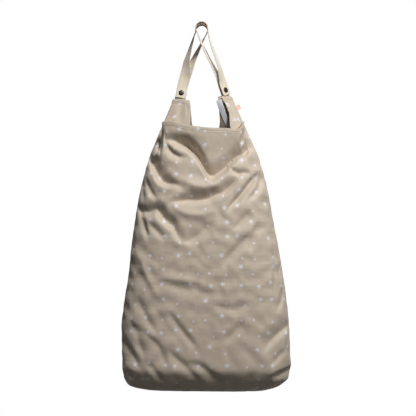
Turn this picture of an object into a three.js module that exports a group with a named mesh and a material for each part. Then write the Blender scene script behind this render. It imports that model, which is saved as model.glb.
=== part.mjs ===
// Hanging wet bag for cloth diapers: a tall pouch of printed laminated cloth, filled out and
// hung by two snap-closed straps over one peg. Millimetres, +Z up, the front faces -Y.
// The origin is where the straps lie on top of the peg.
import * as THREE from 'three';

// Straps, and the peg that their loops go over
const PEG_DIAMETER = 26;
const STRAP_WIDTH = 25;
const STRAP_THICKNESS = 2;
const STRAP_DROP = 177; // top of the peg down to the top of the left ear
const STRAP_SPACING = 4; // between the two straps, side by side on the peg
const SEWN_IN = 5; // length of strap that goes down between the layers of an ear

// Press snaps that close the straps
const SNAP_DIAMETER = 12.4;
const SNAP_CAP = 2.2; // height of a cap
const SNAP_CORE_DIAMETER = 9; // socket and stud, pressed together between the layers
const SNAP_CORE = 2.2; // height of the closed socket and stud
const SNAP_FROM_END = 12.5; // middle of the snap to the free end of the strap

// Bag
const BAG_WIDTH = 397; // widest, low on the filled bag
const BAG_DEPTH = 150;
const BAG_HEIGHT = 678; // top of the left ear down to the base
const CLOTH = 1.5; // wall of laminated cloth

// Tape on the inner edge of the mouth, and the little side label
const TAPE_WIDTH = 13;
const TAPE_THICKNESS = 1;
const TAPE_STANDOFF = 1.1; // the flat tape to the curved cloth behind its middle
const TAG_LENGTH = 13;
const TAG_HEIGHT = 11;
const TAG_THICKNESS = 1.2;

const CLEARANCE = 0.5; // between pieces that lie on each other
const SEAM_EASE = 0.4; // more room for the sewn-in strap, as the cloth curves away from it

// What follows from them
const BASE_Z = -STRAP_DROP - BAG_HEIGHT;
const PEG_RADIUS = PEG_DIAMETER / 2;
const LAYER_GAP = SNAP_CORE + 2 * CLEARANCE; // between the two layers of a closed strap
const LOOP_RADIUS = PEG_RADIUS + STRAP_THICKNESS / 2;

// A table as objects, one for each row, with its columns by name
const table = (columns, rows) => rows.map(
  (row) => Object.fromEntries(columns.map((column, place) => [column, row[place]])));

// Level sections of the filled bag. up is a share of the bag's height from the base; left and
// right are shares of half its width, from the peg's line; front and back are shares of half
// its depth; square is the power of the rounded outline, 2 for an ellipse.
const SECTIONS = table(['up', 'left', 'right', 'front', 'back', 'square'], [
  [0.000, 0.620, 0.740, 0.40, 0.38, 2.6],
  [0.010, 0.770, 0.870, 0.64, 0.60, 2.8],
  [0.034, 0.905, 1.000, 0.86, 0.80, 3.0],
  [0.090, 0.945, 1.055, 0.98, 0.93, 3.2],
  [0.145, 0.945, 1.045, 1.00, 0.97, 3.2],
  [0.228, 0.945, 1.030, 1.00, 1.00, 3.1],
  [0.312, 0.910, 1.000, 0.99, 1.00, 3.0],
  [0.395, 0.865, 0.960, 0.98, 0.98, 2.9],
  [0.478, 0.838, 0.914, 0.96, 0.95, 2.8],
  [0.562, 0.800, 0.858, 0.93, 0.91, 2.7],
  [0.645, 0.755, 0.807, 0.88, 0.84, 2.6],
  [0.700, 0.715, 0.770, 0.84, 0.78, 2.5],
  [0.756, 0.665, 0.720, 0.78, 0.70, 2.4],
  [0.784, 0.637, 0.689, 0.74, 0.65, 2.4],
]);
const NECK = 0.784; // above this the cloth runs up to the edge of the mouth
const BASE_CROWN = 0.004; // the base is lower in its middle, a share of the height

// The two ears, where the side seams are drawn up to the straps. face is the turn of the
// strap's flat side, in degrees: 0 has its width along Y, 90 has it along X.
const EARS = {
  left: { side: -1, across: -0.257, forward: 0, up: 1, face: 90 },
  right: { side: 1, across: 0.287, forward: 0, up: 1.01, face: 48 },
};

// Edge of the mouth round each ear's top. turn is degrees from the seam, towards the front;
// beside is in half widths of the sewn-in strap, towards the mouth; pinch is the side of the
// strap, 1 in front and -1 behind; rise is a share of the bag's height.
const EAR_TOP = table(['turn', 'beside', 'pinch', 'rise'], [
  [11, 1.20, 1, -0.006],
  [7, 0.30, 1, 0.000],
  [3, -1.00, 1, 0.000],
  [0, -1.14, 0, -0.002],
  [-3, -1.00, -1, 0.000],
  [-8, 0.30, -1, 0.000],
  [-14, 1.50, -1, -0.005],
]);

// Rest of the mouth's edge. turn is degrees round the bag from the middle of the front, by the
// left side; the other columns are shares of half the width, half the depth and the height.
// Each front shoulder is folded back on itself: the hem turns behind and runs in again, out of
// sight, before it climbs the ear.
const MOUTH = table(['turn', 'across', 'forward', 'up'], [
  [0, 0.040, 0.66, 0.897], // front hem
  [20, -0.200, 0.64, 0.907],
  [36, -0.355, 0.58, 0.919],
  [50, -0.455, 0.46, 0.915], // left shoulder
  [57, -0.310, 0.35, 0.900],
  [63, -0.165, 0.26, 0.895],
  [69, -0.135, 0.18, 0.936], // inner edge of the left ear
  [75, -0.137, 0.10, 0.982],
  [118, -0.130, -0.16, 0.950], // back edge, hanging lower
  [138, -0.100, -0.32, 0.890],
  [180, 0.030, -0.45, 0.868],
  [222, 0.170, -0.30, 0.882],
  [240, 0.212, -0.12, 0.898],
  [250, 0.215, 0.04, 0.955],
  [286, 0.315, 0.19, 0.962], // inner edge of the right ear
  [292, 0.333, 0.29, 0.905],
  [298, 0.370, 0.35, 0.893],
  [304, 0.440, 0.40, 0.900],
  [310, 0.488, 0.48, 0.919], // right shoulder
  [322, 0.430, 0.58, 0.903],
  [340, 0.260, 0.65, 0.898],
]);

// Folds and dents of the front. Each runs from one place to another, as shares of half the
// width and of the height, bowed upwards by a share of the height; depth is a share of the
// bag's depth, and above and below are how far it reaches on each side, as shares of half
// the width. A depth under 0 is a ridge.
const FOLDS = table(
  ['fromAcross', 'fromUp', 'toAcross', 'toUp', 'bow', 'depth', 'above', 'below'], [
    [-0.40, 0.850, 0.12, 0.732, 0.017, 0.17, 0.20, 0.10], // dent under the hem
    [0.12, 0.732, 0.54, 0.826, -0.010, 0.15, 0.20, 0.10],
    [-0.61, 0.791, -0.23, 0.697, -0.017, 0.13, 0.12, 0.10],
    [-0.22, 0.694, 0.40, 0.735, -0.049, 0.09, 0.11, 0.11], // swags between the shoulders
    [-0.34, 0.642, 0.42, 0.742, -0.052, -0.07, 0.10, 0.12],
    [-0.68, 0.620, -0.34, 0.638, -0.014, 0.09, 0.11, 0.10],
    [-0.32, 0.610, -0.22, 0.513, 0.000, 0.09, 0.12, 0.10],
    [-0.22, 0.513, 0.01, 0.545, -0.003, 0.06, 0.12, 0.10],
    [0.30, 0.614, 0.68, 0.742, -0.014, 0.11, 0.11, 0.10],
    [-0.46, 0.374, 0.13, 0.340, -0.003, 0.06, 0.10, 0.11],
    [-0.68, 0.291, -0.07, 0.156, 0.000, 0.07, 0.11, 0.11],
    [-0.38, 0.127, -0.08, 0.038, 0.000, 0.07, 0.10, 0.10],
    [-0.92, 0.199, -0.73, 0.045, 0.000, 0.09, 0.11, 0.10],
    [0.71, 0.142, 1.02, 0.218, 0.000, 0.09, 0.11, 0.10],
    [0.57, 0.069, 1.03, 0.077, -0.010, 0.08, 0.10, 0.09],
  ]);
const FRONT_EDGE = 62; // degrees from the middle of the front, where the folds have died out

// Columns of cloth round the bag, to a turn in degrees, closest where the shoulders fold
const COLUMN_RUNS = table(['to', 'count'],
  [[50, 12], [90, 14], [104, 5], [256, 12], [270, 5], [310, 14], [360, 12]]);
const BODY_ROWS = [0, 0.01, 0.034, 0.062, 0.09, 0.125, 0.16, 0.2, 0.245, 0.29, 0.33, 0.37, 0.42,
  0.47, 0.515, 0.55, 0.585, 0.615, 0.64, 0.665, 0.69, 0.712, 0.734, 0.758];
const MOUTH_ROWS = 9;

// Each strap from the peg, along 0, to its ear, along 1. face is a share of the ear's turn;
// free and sewn are how far the two layers stand apart, 1 as wide as the peg and 0 closed;
// drift is sideways, in strap widths.
const STRAP_COLUMNS = ['along', 'face', 'free', 'sewn', 'drift'];
const STRAPS = {
  left: table(STRAP_COLUMNS, [
    [0.12, 0.10, 1.06, 0.72, 0.00],
    [0.30, 0.26, 1.06, 0.24, 0.00],
    [0.45, 0.42, 1.00, 0.06, -0.05],
    [0.57, 0.64, 0.66, 0.00, -0.12],
    [0.69, 0.88, 0.22, 0.00, -0.17],
    [0.82, 0.99, 0.00, 0.00, -0.14],
    [0.91, 1.00, 0.00, 0.00, -0.06],
    [1.00, 1.00, 0.00, 0.00, 0.00],
  ]),
  right: table(STRAP_COLUMNS, [
    [0.13, 0.14, 0.62, 1.00, 0.00],
    [0.30, 0.30, 0.52, 0.84, 0.00],
    [0.45, 0.38, 0.54, 0.60, 0.00],
    [0.59, 0.48, 0.50, 0.30, 0.00],
    [0.70, 0.66, 0.24, 0.08, 0.00],
    [0.82, 0.96, 0.00, 0.00, 0.00],
    [0.91, 1.00, 0.00, 0.00, 0.00],
    [1.00, 1.00, 0.00, 0.00, 0.00],
  ]),
};
const EAR_DEEP = 0.93; // rise from the neck to the depth that the sewn end points at
const FREE_END = 0.985; // where along its line a strap's free end stops
const ARC_STEPS = 6; // points of the half turn over the peg
const STRAP_STEPS = 54;

// Route of the tape inside the mouth: turn and rise from the neck, 0, to the edge, 1
const TAPE_ROUTE = table(['rise', 'turn'],
  [[0.66, 245], [0.75, 247.5], [0.84, 250], [0.91, 252.3], [0.98, 255.2]]);
const TAPE_STEPS = 10;

// Where the label is sewn into the right side seam
const TAG_PLACE = { turn: 270, rise: 0.80 };

const vector = (x, y, z) => new THREE.Vector3(x, y, z);
const mix = (from, to, share) => from + (to - from) * share;
const degrees = (angle) => THREE.MathUtils.degToRad(angle);

// A place given in shares of half the width, half the depth and the height
const place = (across, forward, up) => vector(
  across * BAG_WIDTH / 2, -forward * BAG_DEPTH / 2, BASE_Z + up * BAG_HEIGHT);

// Value of one column at a place between a table's rows, on a smooth curve through them
function between(rows, key, column, at) {
  let row = 0;
  while (row < rows.length - 2 && at > rows[row + 1][key]) row += 1;
  const slope = (index) => {
    const before = rows[Math.max(index - 1, 0)];
    const after = rows[Math.min(index + 1, rows.length - 1)];
    return (after[column] - before[column]) / (after[key] - before[key]);
  };
  const span = rows[row + 1][key] - rows[row][key];
  const share = (at - rows[row][key]) / span;
  const [square, cube] = [share ** 2, share ** 3];
  return (2 * cube - 3 * square + 1) * rows[row][column]
    + (cube - 2 * square + share) * span * slope(row)
    + (3 * square - 2 * cube) * rows[row + 1][column]
    + (cube - square) * span * slope(row + 1);
}

// Cloth of the bag

// A point of the filled bag below the neck
function bodyPoint(turn, up) {
  const [left, right, front, back, square] = ['left', 'right', 'front', 'back', 'square']
    .map((column) => between(SECTIONS, 'up', column, up));
  const [sine, cosine] = [Math.sin(degrees(turn)), Math.cos(degrees(turn))];
  const reach = (Math.abs(sine) ** square + Math.abs(cosine) ** square) ** (-1 / square);
  const across = (right - left) / 2 - sine * reach * (left + right) / 2;
  const forward = cosine * reach * (cosine > 0 ? front : back);
  return place(across, forward, up);
}

// The strap's directions at an ear: along its width towards the mouth, and out of its face
function earAxes(ear, face = ear.face) {
  const [sine, cosine] = [Math.sin(degrees(face)), Math.cos(degrees(face))];
  return {
    middle: place(ear.across, ear.forward, ear.up),
    wide: vector(-ear.side * sine, -cosine, 0),
    out: vector(ear.side * cosine, -sine, 0),
  };
}

// The edge of one ear's top, round the end of its strap
function earEdge(ear) {
  const { middle, wide, out } = earAxes(ear);
  const wall = STRAP_THICKNESS / 2 + CLEARANCE + SEAM_EASE + CLOTH;
  return EAR_TOP.map(({ turn, beside, pinch, rise }) => {
    const point = middle.clone()
      .addScaledVector(wide, beside * (STRAP_WIDTH / 2 + CLEARANCE + CLOTH))
      .addScaledVector(out, pinch * wall);
    const seam = ear.side < 0 ? 90 : 270;
    return { turn: seam + ear.side * turn, x: point.x, y: point.y,
      z: point.z + rise * BAG_HEIGHT };
  });
}

// The whole edge of the mouth, in order of turn, with rows over again at both ends
function mouthEdge() {
  const rows = MOUTH.map(({ turn, across, forward, up }) => {
    const { x, y, z } = place(across, forward, up);
    return { turn, x, y, z };
  });
  rows.push(...earEdge(EARS.left), ...earEdge(EARS.right));
  rows.sort((one, other) => one.turn - other.turn);
  const moved = (row, turn) => ({ ...row, turn: row.turn + turn });
  return [...rows.slice(-2).map((row) => moved(row, -360)), ...rows,
    ...rows.slice(0, 3).map((row) => moved(row, 360))];
}
const EDGE = mouthEdge();
const edgePoint = (turn) => vector(
  ...['x', 'y', 'z'].map((column) => between(EDGE, 'turn', column, turn)));

// A point above the neck, on a curve that leaves the filled bag smoothly
function mouthPoint(turn, rise) {
  const start = bodyPoint(turn, NECK);
  const end = edgePoint(turn);
  const step = 0.01;
  const climb = (end.z - start.z) / (step * BAG_HEIGHT);
  const leave = start.clone().sub(bodyPoint(turn, NECK - step)).multiplyScalar(climb);
  const [square, cube] = [rise ** 2, rise ** 3];
  return start.clone().multiplyScalar(2 * cube - 3 * square + 1)
    .addScaledVector(leave, cube - 2 * square + rise)
    .addScaledVector(end, 3 * square - 2 * cube)
    .addScaledVector(end.clone().sub(start), cube - square);
}

// How far the folds push a place of the front in
function foldDepth(point, turn) {
  const fromMiddle = Math.min(turn, 360 - turn);
  const fade = 1 - THREE.MathUtils.smoothstep(fromMiddle, FRONT_EDGE - 22, FRONT_EDGE);
  let depth = 0;
  for (const fold of FOLDS) {
    const start = place(fold.fromAcross, 0, fold.fromUp);
    const run = place(fold.toAcross, 0, fold.toUp).sub(start);
    const length = run.length();
    const away = vector(point.x, 0, point.z).sub(start);
    const along = away.dot(run) / length ** 2;
    const inside = THREE.MathUtils.clamp(along, 0, 1);
    const bow = fold.bow * BAG_HEIGHT * 4 * inside * (1 - inside);
    const off = (run.x * away.z - run.z * away.x) / length - bow;
    const reach = (off > 0 ? fold.above : fold.below) * BAG_WIDTH / 2;
    const past = (along - inside) * length;
    const end = THREE.MathUtils.smoothstep(Math.min(inside, 1 - inside) + 0.06, 0, 0.25);
    depth += fold.depth * BAG_DEPTH * end
      * Math.exp(-((off / reach) ** 2) - (past / reach) ** 2);
  }
  return depth * fade;
}

// A point of the cloth's outer face; rise counts from 0 at the neck to 1 at the edge
function clothPoint(turn, up, rise = 0) {
  const point = rise > 0 ? mouthPoint(turn, rise) : bodyPoint(turn, up);
  const hem = 1 - THREE.MathUtils.smoothstep(rise, 0.55, 0.95);
  point.y += foldDepth(point, turn) * hem;
  return point;
}

// Way out of the cloth at a point above the neck
function mouthNormal(turn, rise) {
  const step = 0.01;
  const round = clothPoint(turn + 1, NECK, rise).sub(clothPoint(turn - 1, NECK, rise));
  const lift = clothPoint(turn, NECK, rise).sub(clothPoint(turn, NECK, rise - step));
  return lift.cross(round).normalize();
}

// Mesh of a closed body from its corners and its triangles
function solid(name, corners, triangles, finish) {
  const geometry = new THREE.BufferGeometry();
  geometry.setAttribute('position',
    new THREE.Float32BufferAttribute(corners.flatMap((corner) => corner.toArray()), 3));
  geometry.setIndex(triangles.flat());
  geometry.computeVertexNormals();
  const mesh = new THREE.Mesh(geometry, new THREE.MeshStandardMaterial(finish));
  mesh.name = name;
  return mesh;
}

// Turns of the columns of cloth
function columnTurns() {
  const turns = [];
  let from = 0;
  for (const { to, count } of COLUMN_RUNS) {
    for (let step = 0; step < count; step += 1) turns.push(mix(from, to, step / count));
    from = to;
  }
  return turns;
}

// The hollow bag: an outer face, the same face a cloth's thickness further in, and a rim
function bagBody() {
  const turns = columnTurns();
  const around = turns.length;
  const rows = BODY_ROWS.map((up) => turns.map((turn) => clothPoint(turn, up)));
  for (let row = 0; row <= MOUTH_ROWS; row += 1) {
    const rise = row / MOUTH_ROWS;
    rows.push(turns.map((turn) => clothPoint(turn, NECK, rise)));
  }
  const middle = bodyPoint(0, 0).add(bodyPoint(180, 0)).multiplyScalar(0.5);
  middle.z -= BASE_CROWN * BAG_HEIGHT;
  const outer = [...rows.flat(), middle];
  const pole = outer.length - 1;
  const triangles = [];
  for (let row = 0; row < rows.length - 1; row += 1) {
    for (let column = 0; column < around; column += 1) {
      const next = (column + 1) % around;
      const [a, b] = [row * around + column, row * around + next];
      triangles.push([a, a + around, b], [b, a + around, b + around]);
    }
  }
  for (let column = 0; column < around; column += 1) {
    triangles.push([pole, column, (column + 1) % around]);
  }
  const skin = solid('skin', outer, triangles, {});
  const normals = skin.geometry.getAttribute('normal');
  const inner = outer.map((corner, index) => corner.clone().addScaledVector(
    vector().fromBufferAttribute(normals, index), -CLOTH));
  const shift = outer.length;
  const walls = triangles.map(([a, b, c]) => [a + shift, c + shift, b + shift]);
  const top = (rows.length - 1) * around;
  for (let column = 0; column < around; column += 1) {
    const [a, b] = [top + column, top + (column + 1) % around];
    walls.push([a, a + shift, b], [b, a + shift, b + shift]);
  }
  return solid('bag_body', [...outer, ...inner], [...triangles, ...walls],
    { color: 0xcdbfae, roughness: 0.75, metalness: 0 });
}

// Straps

// A flat band swept through stations, each with its middle and its direction of width
function band(name, stations, width, thickness, finish) {
  const corners = [];
  stations.forEach(({ middle, wide }, index) => {
    const before = stations[Math.max(index - 1, 0)].middle;
    const after = stations[Math.min(index + 1, stations.length - 1)].middle;
    const ahead = after.clone().sub(before).normalize();
    const across = wide.clone().addScaledVector(ahead, -wide.dot(ahead)).normalize();
    const thick = ahead.clone().cross(across);
    for (const [side, face] of [[-1, -1], [1, -1], [1, 1], [-1, 1]]) {
      corners.push(middle.clone().addScaledVector(across, side * width / 2)
        .addScaledVector(thick, face * thickness / 2));
    }
  });
  const triangles = [[0, 2, 1], [0, 3, 2]];
  for (let ring = 0; ring < corners.length - 4; ring += 4) {
    for (let edge = 0; edge < 4; edge += 1) {
      const [a, b] = [ring + edge, ring + (edge + 1) % 4];
      triangles.push([a, b, a + 4], [b, b + 4, a + 4]);
    }
  }
  const last = corners.length - 4;
  triangles.push([last, last + 1, last + 2], [last, last + 2, last + 3]);
  return solid(name, corners, triangles, finish);
}

// One layer of a strap at a place between the peg, 0, and the ear, 1
function layerStation(side, along, layer) {
  const ear = EARS[side];
  const rows = [{ along: 0, face: 0, free: 1, sewn: 1, drift: 0 }, ...STRAPS[side]];
  const face = ear.face * between(rows, 'along', 'face', along);
  const { middle, wide, out } = earAxes(ear, face);
  // The free layer lies in front, so the sewn one is in line with the ear
  const { out: earOut } = earAxes(ear);
  const tab = middle.addScaledVector(earOut, (LAYER_GAP + STRAP_THICKNESS) / 2);
  const peg = vector(0, -ear.side * (STRAP_WIDTH + STRAP_SPACING) / 2, -PEG_RADIUS);
  const point = vector(mix(peg.x, tab.x, along), mix(peg.y, tab.y, along ** 1.6),
    mix(peg.z, tab.z, along));
  const closed = (LAYER_GAP + STRAP_THICKNESS) / 2;
  const open = between(rows, 'along', layer, along);
  const apart = mix(closed, LOOP_RADIUS, open) * (layer === 'free' ? 1 : -1);
  point.addScaledVector(out, apart);
  point.x += between(rows, 'along', 'drift', along) * STRAP_WIDTH;
  return { middle: point, wide };
}

// Middle of an ear, between its two layers of cloth
function earMiddle(ear, rise) {
  const seam = ear.side < 0 ? 90 : 270;
  const [front, back] = EAR_TOP.filter(({ pinch, beside }) => pinch !== 0 && beside === 0.3)
    .map(({ turn }) => clothPoint(seam + ear.side * turn, NECK, rise));
  return front.add(back).multiplyScalar(0.5);
}

// The whole route of a strap, from its sewn end, over the peg, to its free end
function strapRoute(side) {
  const ear = EARS[side];
  const alongs = STRAPS[side].map((row) => row.along);
  const sewn = [...alongs].reverse().map((along) => layerStation(side, along, 'sewn'));
  const down = earMiddle(ear, EAR_DEEP).sub(earMiddle(ear, 1)).setLength(SEWN_IN);
  const root = { middle: sewn[0].middle.clone().add(down), wide: sewn[0].wide };
  const over = [];
  for (let step = 0; step <= ARC_STEPS; step += 1) {
    const angle = degrees(180 * step / ARC_STEPS);
    over.push({ middle: vector(-ear.side * Math.cos(angle) * LOOP_RADIUS,
      -ear.side * (STRAP_WIDTH + STRAP_SPACING) / 2,
      Math.sin(angle) * LOOP_RADIUS - PEG_RADIUS), wide: vector(0, -1, 0) });
  }
  const free = alongs.map((along) => layerStation(side, Math.min(along, FREE_END), 'free'));
  const points = [root, ...sewn, ...over, ...free];
  return {
    middles: new THREE.CatmullRomCurve3(points.map(({ middle }) => middle)),
    widths: new THREE.CatmullRomCurve3(points.map(({ wide }) => wide)),
  };
}

// One station of a strap, at a share of its length
function strapStation({ middles, widths }, share) {
  const at = middles.getUtoTmapping(share);
  return { middle: middles.getPoint(at), wide: widths.getPoint(at).normalize() };
}

function strap(side) {
  const route = strapRoute(side);
  const stations = [];
  for (let step = 0; step <= STRAP_STEPS; step += 1) {
    stations.push(strapStation(route, step / STRAP_STEPS));
  }
  return band(`strap_${side}`, stations, STRAP_WIDTH, STRAP_THICKNESS, STRAP_FINISH);
}

const STRAP_FINISH = { color: 0xd6cabc, roughness: 0.8, metalness: 0 };
const SNAP_FINISH = { color: 0x231814, roughness: 0.35, metalness: 0 };

// A flat disc with a domed face, its axis along +Y before it is turned
function disc(name, diameter, height, dome) {
  const radius = diameter / 2;
  const profile = [[0, 0], [radius, 0], [radius, height - dome],
    [radius * 0.82, height - dome * 0.35], [0, height]];
  const mesh = new THREE.Mesh(
    new THREE.LatheGeometry(profile.map(([x, y]) => new THREE.Vector2(x, y)), 16),
    new THREE.MeshStandardMaterial(SNAP_FINISH));
  mesh.name = name;
  return mesh;
}

// The snap of one strap: a cap on each outside, and the closed socket and stud between
function snap(side) {
  const route = strapRoute(side);
  const length = route.middles.getLength();
  const share = 1 - SNAP_FROM_END / length;
  const free = strapStation(route, share);
  // The sewn layer lies right behind: its nearest point is looked for up from the ear
  let sewn = free.middle;
  let nearest = Infinity;
  for (let up = 0; up < SEWN_IN + 3 * SNAP_FROM_END; up += 0.25) {
    const { middle } = strapStation(route, up / length);
    const distance = middle.distanceTo(free.middle);
    if (distance < nearest) [sewn, nearest] = [middle, distance];
  }
  const facing = free.middle.clone().sub(sewn).normalize();
  const middle = free.middle.clone().add(sewn).multiplyScalar(0.5);
  const seat = STRAP_THICKNESS / 2 + CLEARANCE;
  const back = facing.clone().negate();
  const group = new THREE.Group();
  const pieces = [
    [disc(`snap_cap_front_${side}`, SNAP_DIAMETER, SNAP_CAP, 0.9), free.middle, facing, seat],
    [disc(`snap_core_${side}`, SNAP_CORE_DIAMETER, SNAP_CORE, 0.1), middle, facing, -SNAP_CORE / 2],
    [disc(`snap_cap_back_${side}`, SNAP_DIAMETER, SNAP_CAP, 0.9), sewn, back, seat],
  ];
  for (const [piece, start, way, off] of pieces) {
    piece.position.copy(start).addScaledVector(way, off);
    piece.quaternion.setFromUnitVectors(vector(0, 1, 0), way);
    group.add(piece);
  }
  return group;
}

// Tape along the inside of the mouth, just clear of the cloth
function mouthTape() {
  const stations = [];
  for (let step = 0; step <= TAPE_STEPS; step += 1) {
    const rise = mix(TAPE_ROUTE[0].rise, TAPE_ROUTE.at(-1).rise, step / TAPE_STEPS);
    const turn = between(TAPE_ROUTE, 'rise', 'turn', rise);
    const inward = mouthNormal(turn, rise).negate();
    const middle = clothPoint(turn, NECK, rise)
      .addScaledVector(inward, CLOTH + TAPE_STANDOFF + TAPE_THICKNESS / 2);
    stations.push({ middle, inward });
  }
  stations.forEach((station, step) => {
    const before = stations[Math.max(step - 1, 0)].middle;
    const after = stations[Math.min(step + 1, TAPE_STEPS)].middle;
    station.wide = after.clone().sub(before).cross(station.inward).normalize();
  });
  return band('mouth_tape', stations, TAPE_WIDTH, TAPE_THICKNESS,
    { color: 0xe1e4eb, roughness: 0.6, metalness: 0 });
}

// The little folded label, standing out of the right side seam
function sideTag() {
  const mesh = new THREE.Mesh(new THREE.BoxGeometry(TAG_LENGTH, TAG_THICKNESS, TAG_HEIGHT),
    new THREE.MeshStandardMaterial({ color: 0xebc0b2, roughness: 0.7, metalness: 0 }));
  mesh.name = 'side_tag';
  const out = mouthNormal(TAG_PLACE.turn, TAG_PLACE.rise);
  mesh.position.copy(clothPoint(TAG_PLACE.turn, NECK, TAG_PLACE.rise))
    .addScaledVector(out, TAG_LENGTH / 2 + CLEARANCE);
  mesh.quaternion.setFromUnitVectors(vector(1, 0, 0), out);
  return mesh;
}

const bag = new THREE.Group();
bag.add(bagBody(), mouthTape(), sideTag());
for (const side of ['left', 'right']) {
  bag.add(strap(side), snap(side));
}
export default bag;
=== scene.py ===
# %% [markdown]
# A hanging wet bag for cloth diapers
#
# The bag is a tall pouch of laminated cloth with little stars printed on it. It hangs by two cloth
# straps that loop over one peg and close with press snaps. This lesson dresses the plain solid model
# of the bag: every piece is made again as finely as the real one, in metres, where the solid has it.
# The first cell loads that solid model, which is the frame that all the rest is fitted to.

# %% Load the frame
import math

import bpy
import numpy as np
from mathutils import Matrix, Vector


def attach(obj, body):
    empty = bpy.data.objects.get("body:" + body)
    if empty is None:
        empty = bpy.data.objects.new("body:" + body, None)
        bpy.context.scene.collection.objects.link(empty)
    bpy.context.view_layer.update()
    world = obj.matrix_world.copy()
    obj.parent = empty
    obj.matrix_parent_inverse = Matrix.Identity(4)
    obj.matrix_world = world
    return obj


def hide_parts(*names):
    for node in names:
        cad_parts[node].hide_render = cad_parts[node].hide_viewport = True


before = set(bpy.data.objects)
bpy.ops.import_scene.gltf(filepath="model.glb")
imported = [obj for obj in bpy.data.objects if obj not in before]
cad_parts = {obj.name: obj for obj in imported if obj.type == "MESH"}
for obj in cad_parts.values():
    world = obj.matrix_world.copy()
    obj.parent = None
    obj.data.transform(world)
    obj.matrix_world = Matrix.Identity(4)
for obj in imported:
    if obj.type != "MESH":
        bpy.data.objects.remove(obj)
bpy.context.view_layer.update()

MM = 0.001

# %% [markdown]
# The camera
#
# A product picture of this kind is taken level with the middle of the bag and from a few metres off,
# so that the sides stay nearly parallel. The picture's scale comes from the solid: a pixel of the
# square picture is 2.35 mm at the bag. A long lens could be faked by moving the camera nearer with a
# wide one, but that would swell the front of the bag.

# %% Camera and its place
PICTURE = 416                       # pixels along each side of the square picture
PIXEL = 2.35 * MM                   # size of a pixel at the bag
HANG_PIXEL = (201.8, 24.0)          # where the straps lie on the peg, in the picture
LENS = 85.0
SENSOR = 36.0


def picture_camera():
    """A level camera that looks along +Y and frames the bag as the picture does."""
    data = bpy.data.cameras.new("picture_camera")
    data.lens = LENS
    data.sensor_width = SENSOR
    width = PICTURE * PIXEL
    distance = width * LENS / SENSOR
    across = (PICTURE / 2 - HANG_PIXEL[0]) * PIXEL
    down = (PICTURE / 2 - HANG_PIXEL[1]) * PIXEL
    camera = bpy.data.objects.new("picture_camera", data)
    camera.location = (across, -distance, -down)
    camera.rotation_euler = (math.pi / 2, 0, 0)
    bpy.context.scene.collection.objects.link(camera)
    bpy.context.scene.camera = camera
    return camera


camera = picture_camera()
print("camera at", [round(value, 3) for value in camera.location])

# %% [markdown]
# Tables and smooth curves
#
# A sewn pouch has no straight lines, but a few measured sections with smooth curves through them
# are enough. Sculpting would do it too, but a table can be read and changed. The helpers below are
# used for the cloth, the straps and the tape alike.

# %% Helpers for tables, curves and meshes


def table(columns, rows):
    """A table of numbers as one array for each named column."""
    values = np.array(rows, float)
    return {name: values[:, place] for place, name in enumerate(columns)}


def between(rows, key, column, at):
    """One column at places between a table's rows, on a smooth curve through them."""
    keys, values = rows[key], rows[column]
    at = np.asarray(at, float)
    row = np.clip(np.searchsorted(keys, at, side="left") - 1, 0, len(keys) - 2)
    before = np.maximum(np.arange(len(keys)) - 1, 0)
    after = np.minimum(np.arange(len(keys)) + 1, len(keys) - 1)
    slope = (values[after] - values[before]) / (keys[after] - keys[before])
    span = keys[row + 1] - keys[row]
    share = (at - keys[row]) / span
    square, cube = share ** 2, share ** 3
    return ((2 * cube - 3 * square + 1) * values[row]
            + (cube - 2 * square + share) * span * slope[row]
            + (3 * square - 2 * cube) * values[row + 1]
            + (cube - square) * span * slope[row + 1])


def smoothstep(value, low, high):
    """0 below low, 1 above high, and a smooth rise between them."""
    share = np.clip((np.asarray(value, float) - low) / (high - low), 0, 1)
    return share * share * (3 - 2 * share)


def unit(vectors):
    """The same vectors, each one long."""
    return vectors / np.maximum(np.linalg.norm(vectors, axis=-1, keepdims=True), 1e-12)


def make_mesh(name, corners, faces, smooth=True):
    """A mesh object at the origin, with its place in its corners."""
    mesh = bpy.data.meshes.new(name)
    mesh.from_pydata([tuple(corner) for corner in corners], [], [tuple(face) for face in faces])
    mesh.validate()
    if smooth:
        mesh.shade_smooth()
    piece = bpy.data.objects.new(name, mesh)
    bpy.context.scene.collection.objects.link(piece)
    return piece


def tube_faces(count, around):
    """Faces of a tube of rings, with a fan to a middle corner at each end."""
    faces = []
    for ring in range(count - 1):
        for step in range(around):
            after = (step + 1) % around
            faces.append((ring * around + step, ring * around + after,
                          (ring + 1) * around + after, (ring + 1) * around + step))
    first, last = count * around, count * around + 1
    for step in range(around):
        after = (step + 1) % around
        faces.append((first, after, step))
        faces.append((last, (count - 1) * around + step, (count - 1) * around + after))
    return faces


def face_corners(piece):
    """Which of the mesh's points each corner of its faces is."""
    corners = np.empty(len(piece.data.loops), int)
    piece.data.loops.foreach_get("vertex_index", corners)
    return corners


def add_print(piece, places):
    """Stores the print's coordinates at each corner of the faces."""
    layer = piece.data.uv_layers.new(name="print")
    layer.data.foreach_set("uv", np.asarray(places, np.float32).ravel())


def finished(piece, material, slot, *nodes):
    """Gives a piece its finish, hangs it on the frame's root and hides the solid's pieces that it
    stands for. The slot is not used.
    """
    if material is not None:
        piece.data.materials.clear()
        piece.data.materials.append(material)
    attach(piece, "root")
    if nodes:
        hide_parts(*nodes)
    faces = sum(len(face.vertices) - 2 for face in piece.data.polygons)
    print(piece.name, "has", faces, "triangles before its modifiers")


# %% [markdown]
# The shape of the filled bag
#
# The pouch is flat when it is empty. Filled, it is a rounded box that narrows to the top, because
# the two straps draw its side seams together. Level sections at a few heights give the filled part,
# and a row of points gives the edge of the mouth: the hem across the front, the ear that each strap
# draws up, and the back edge, which hangs lower. At each front shoulder the hem turns behind itself.

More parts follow.
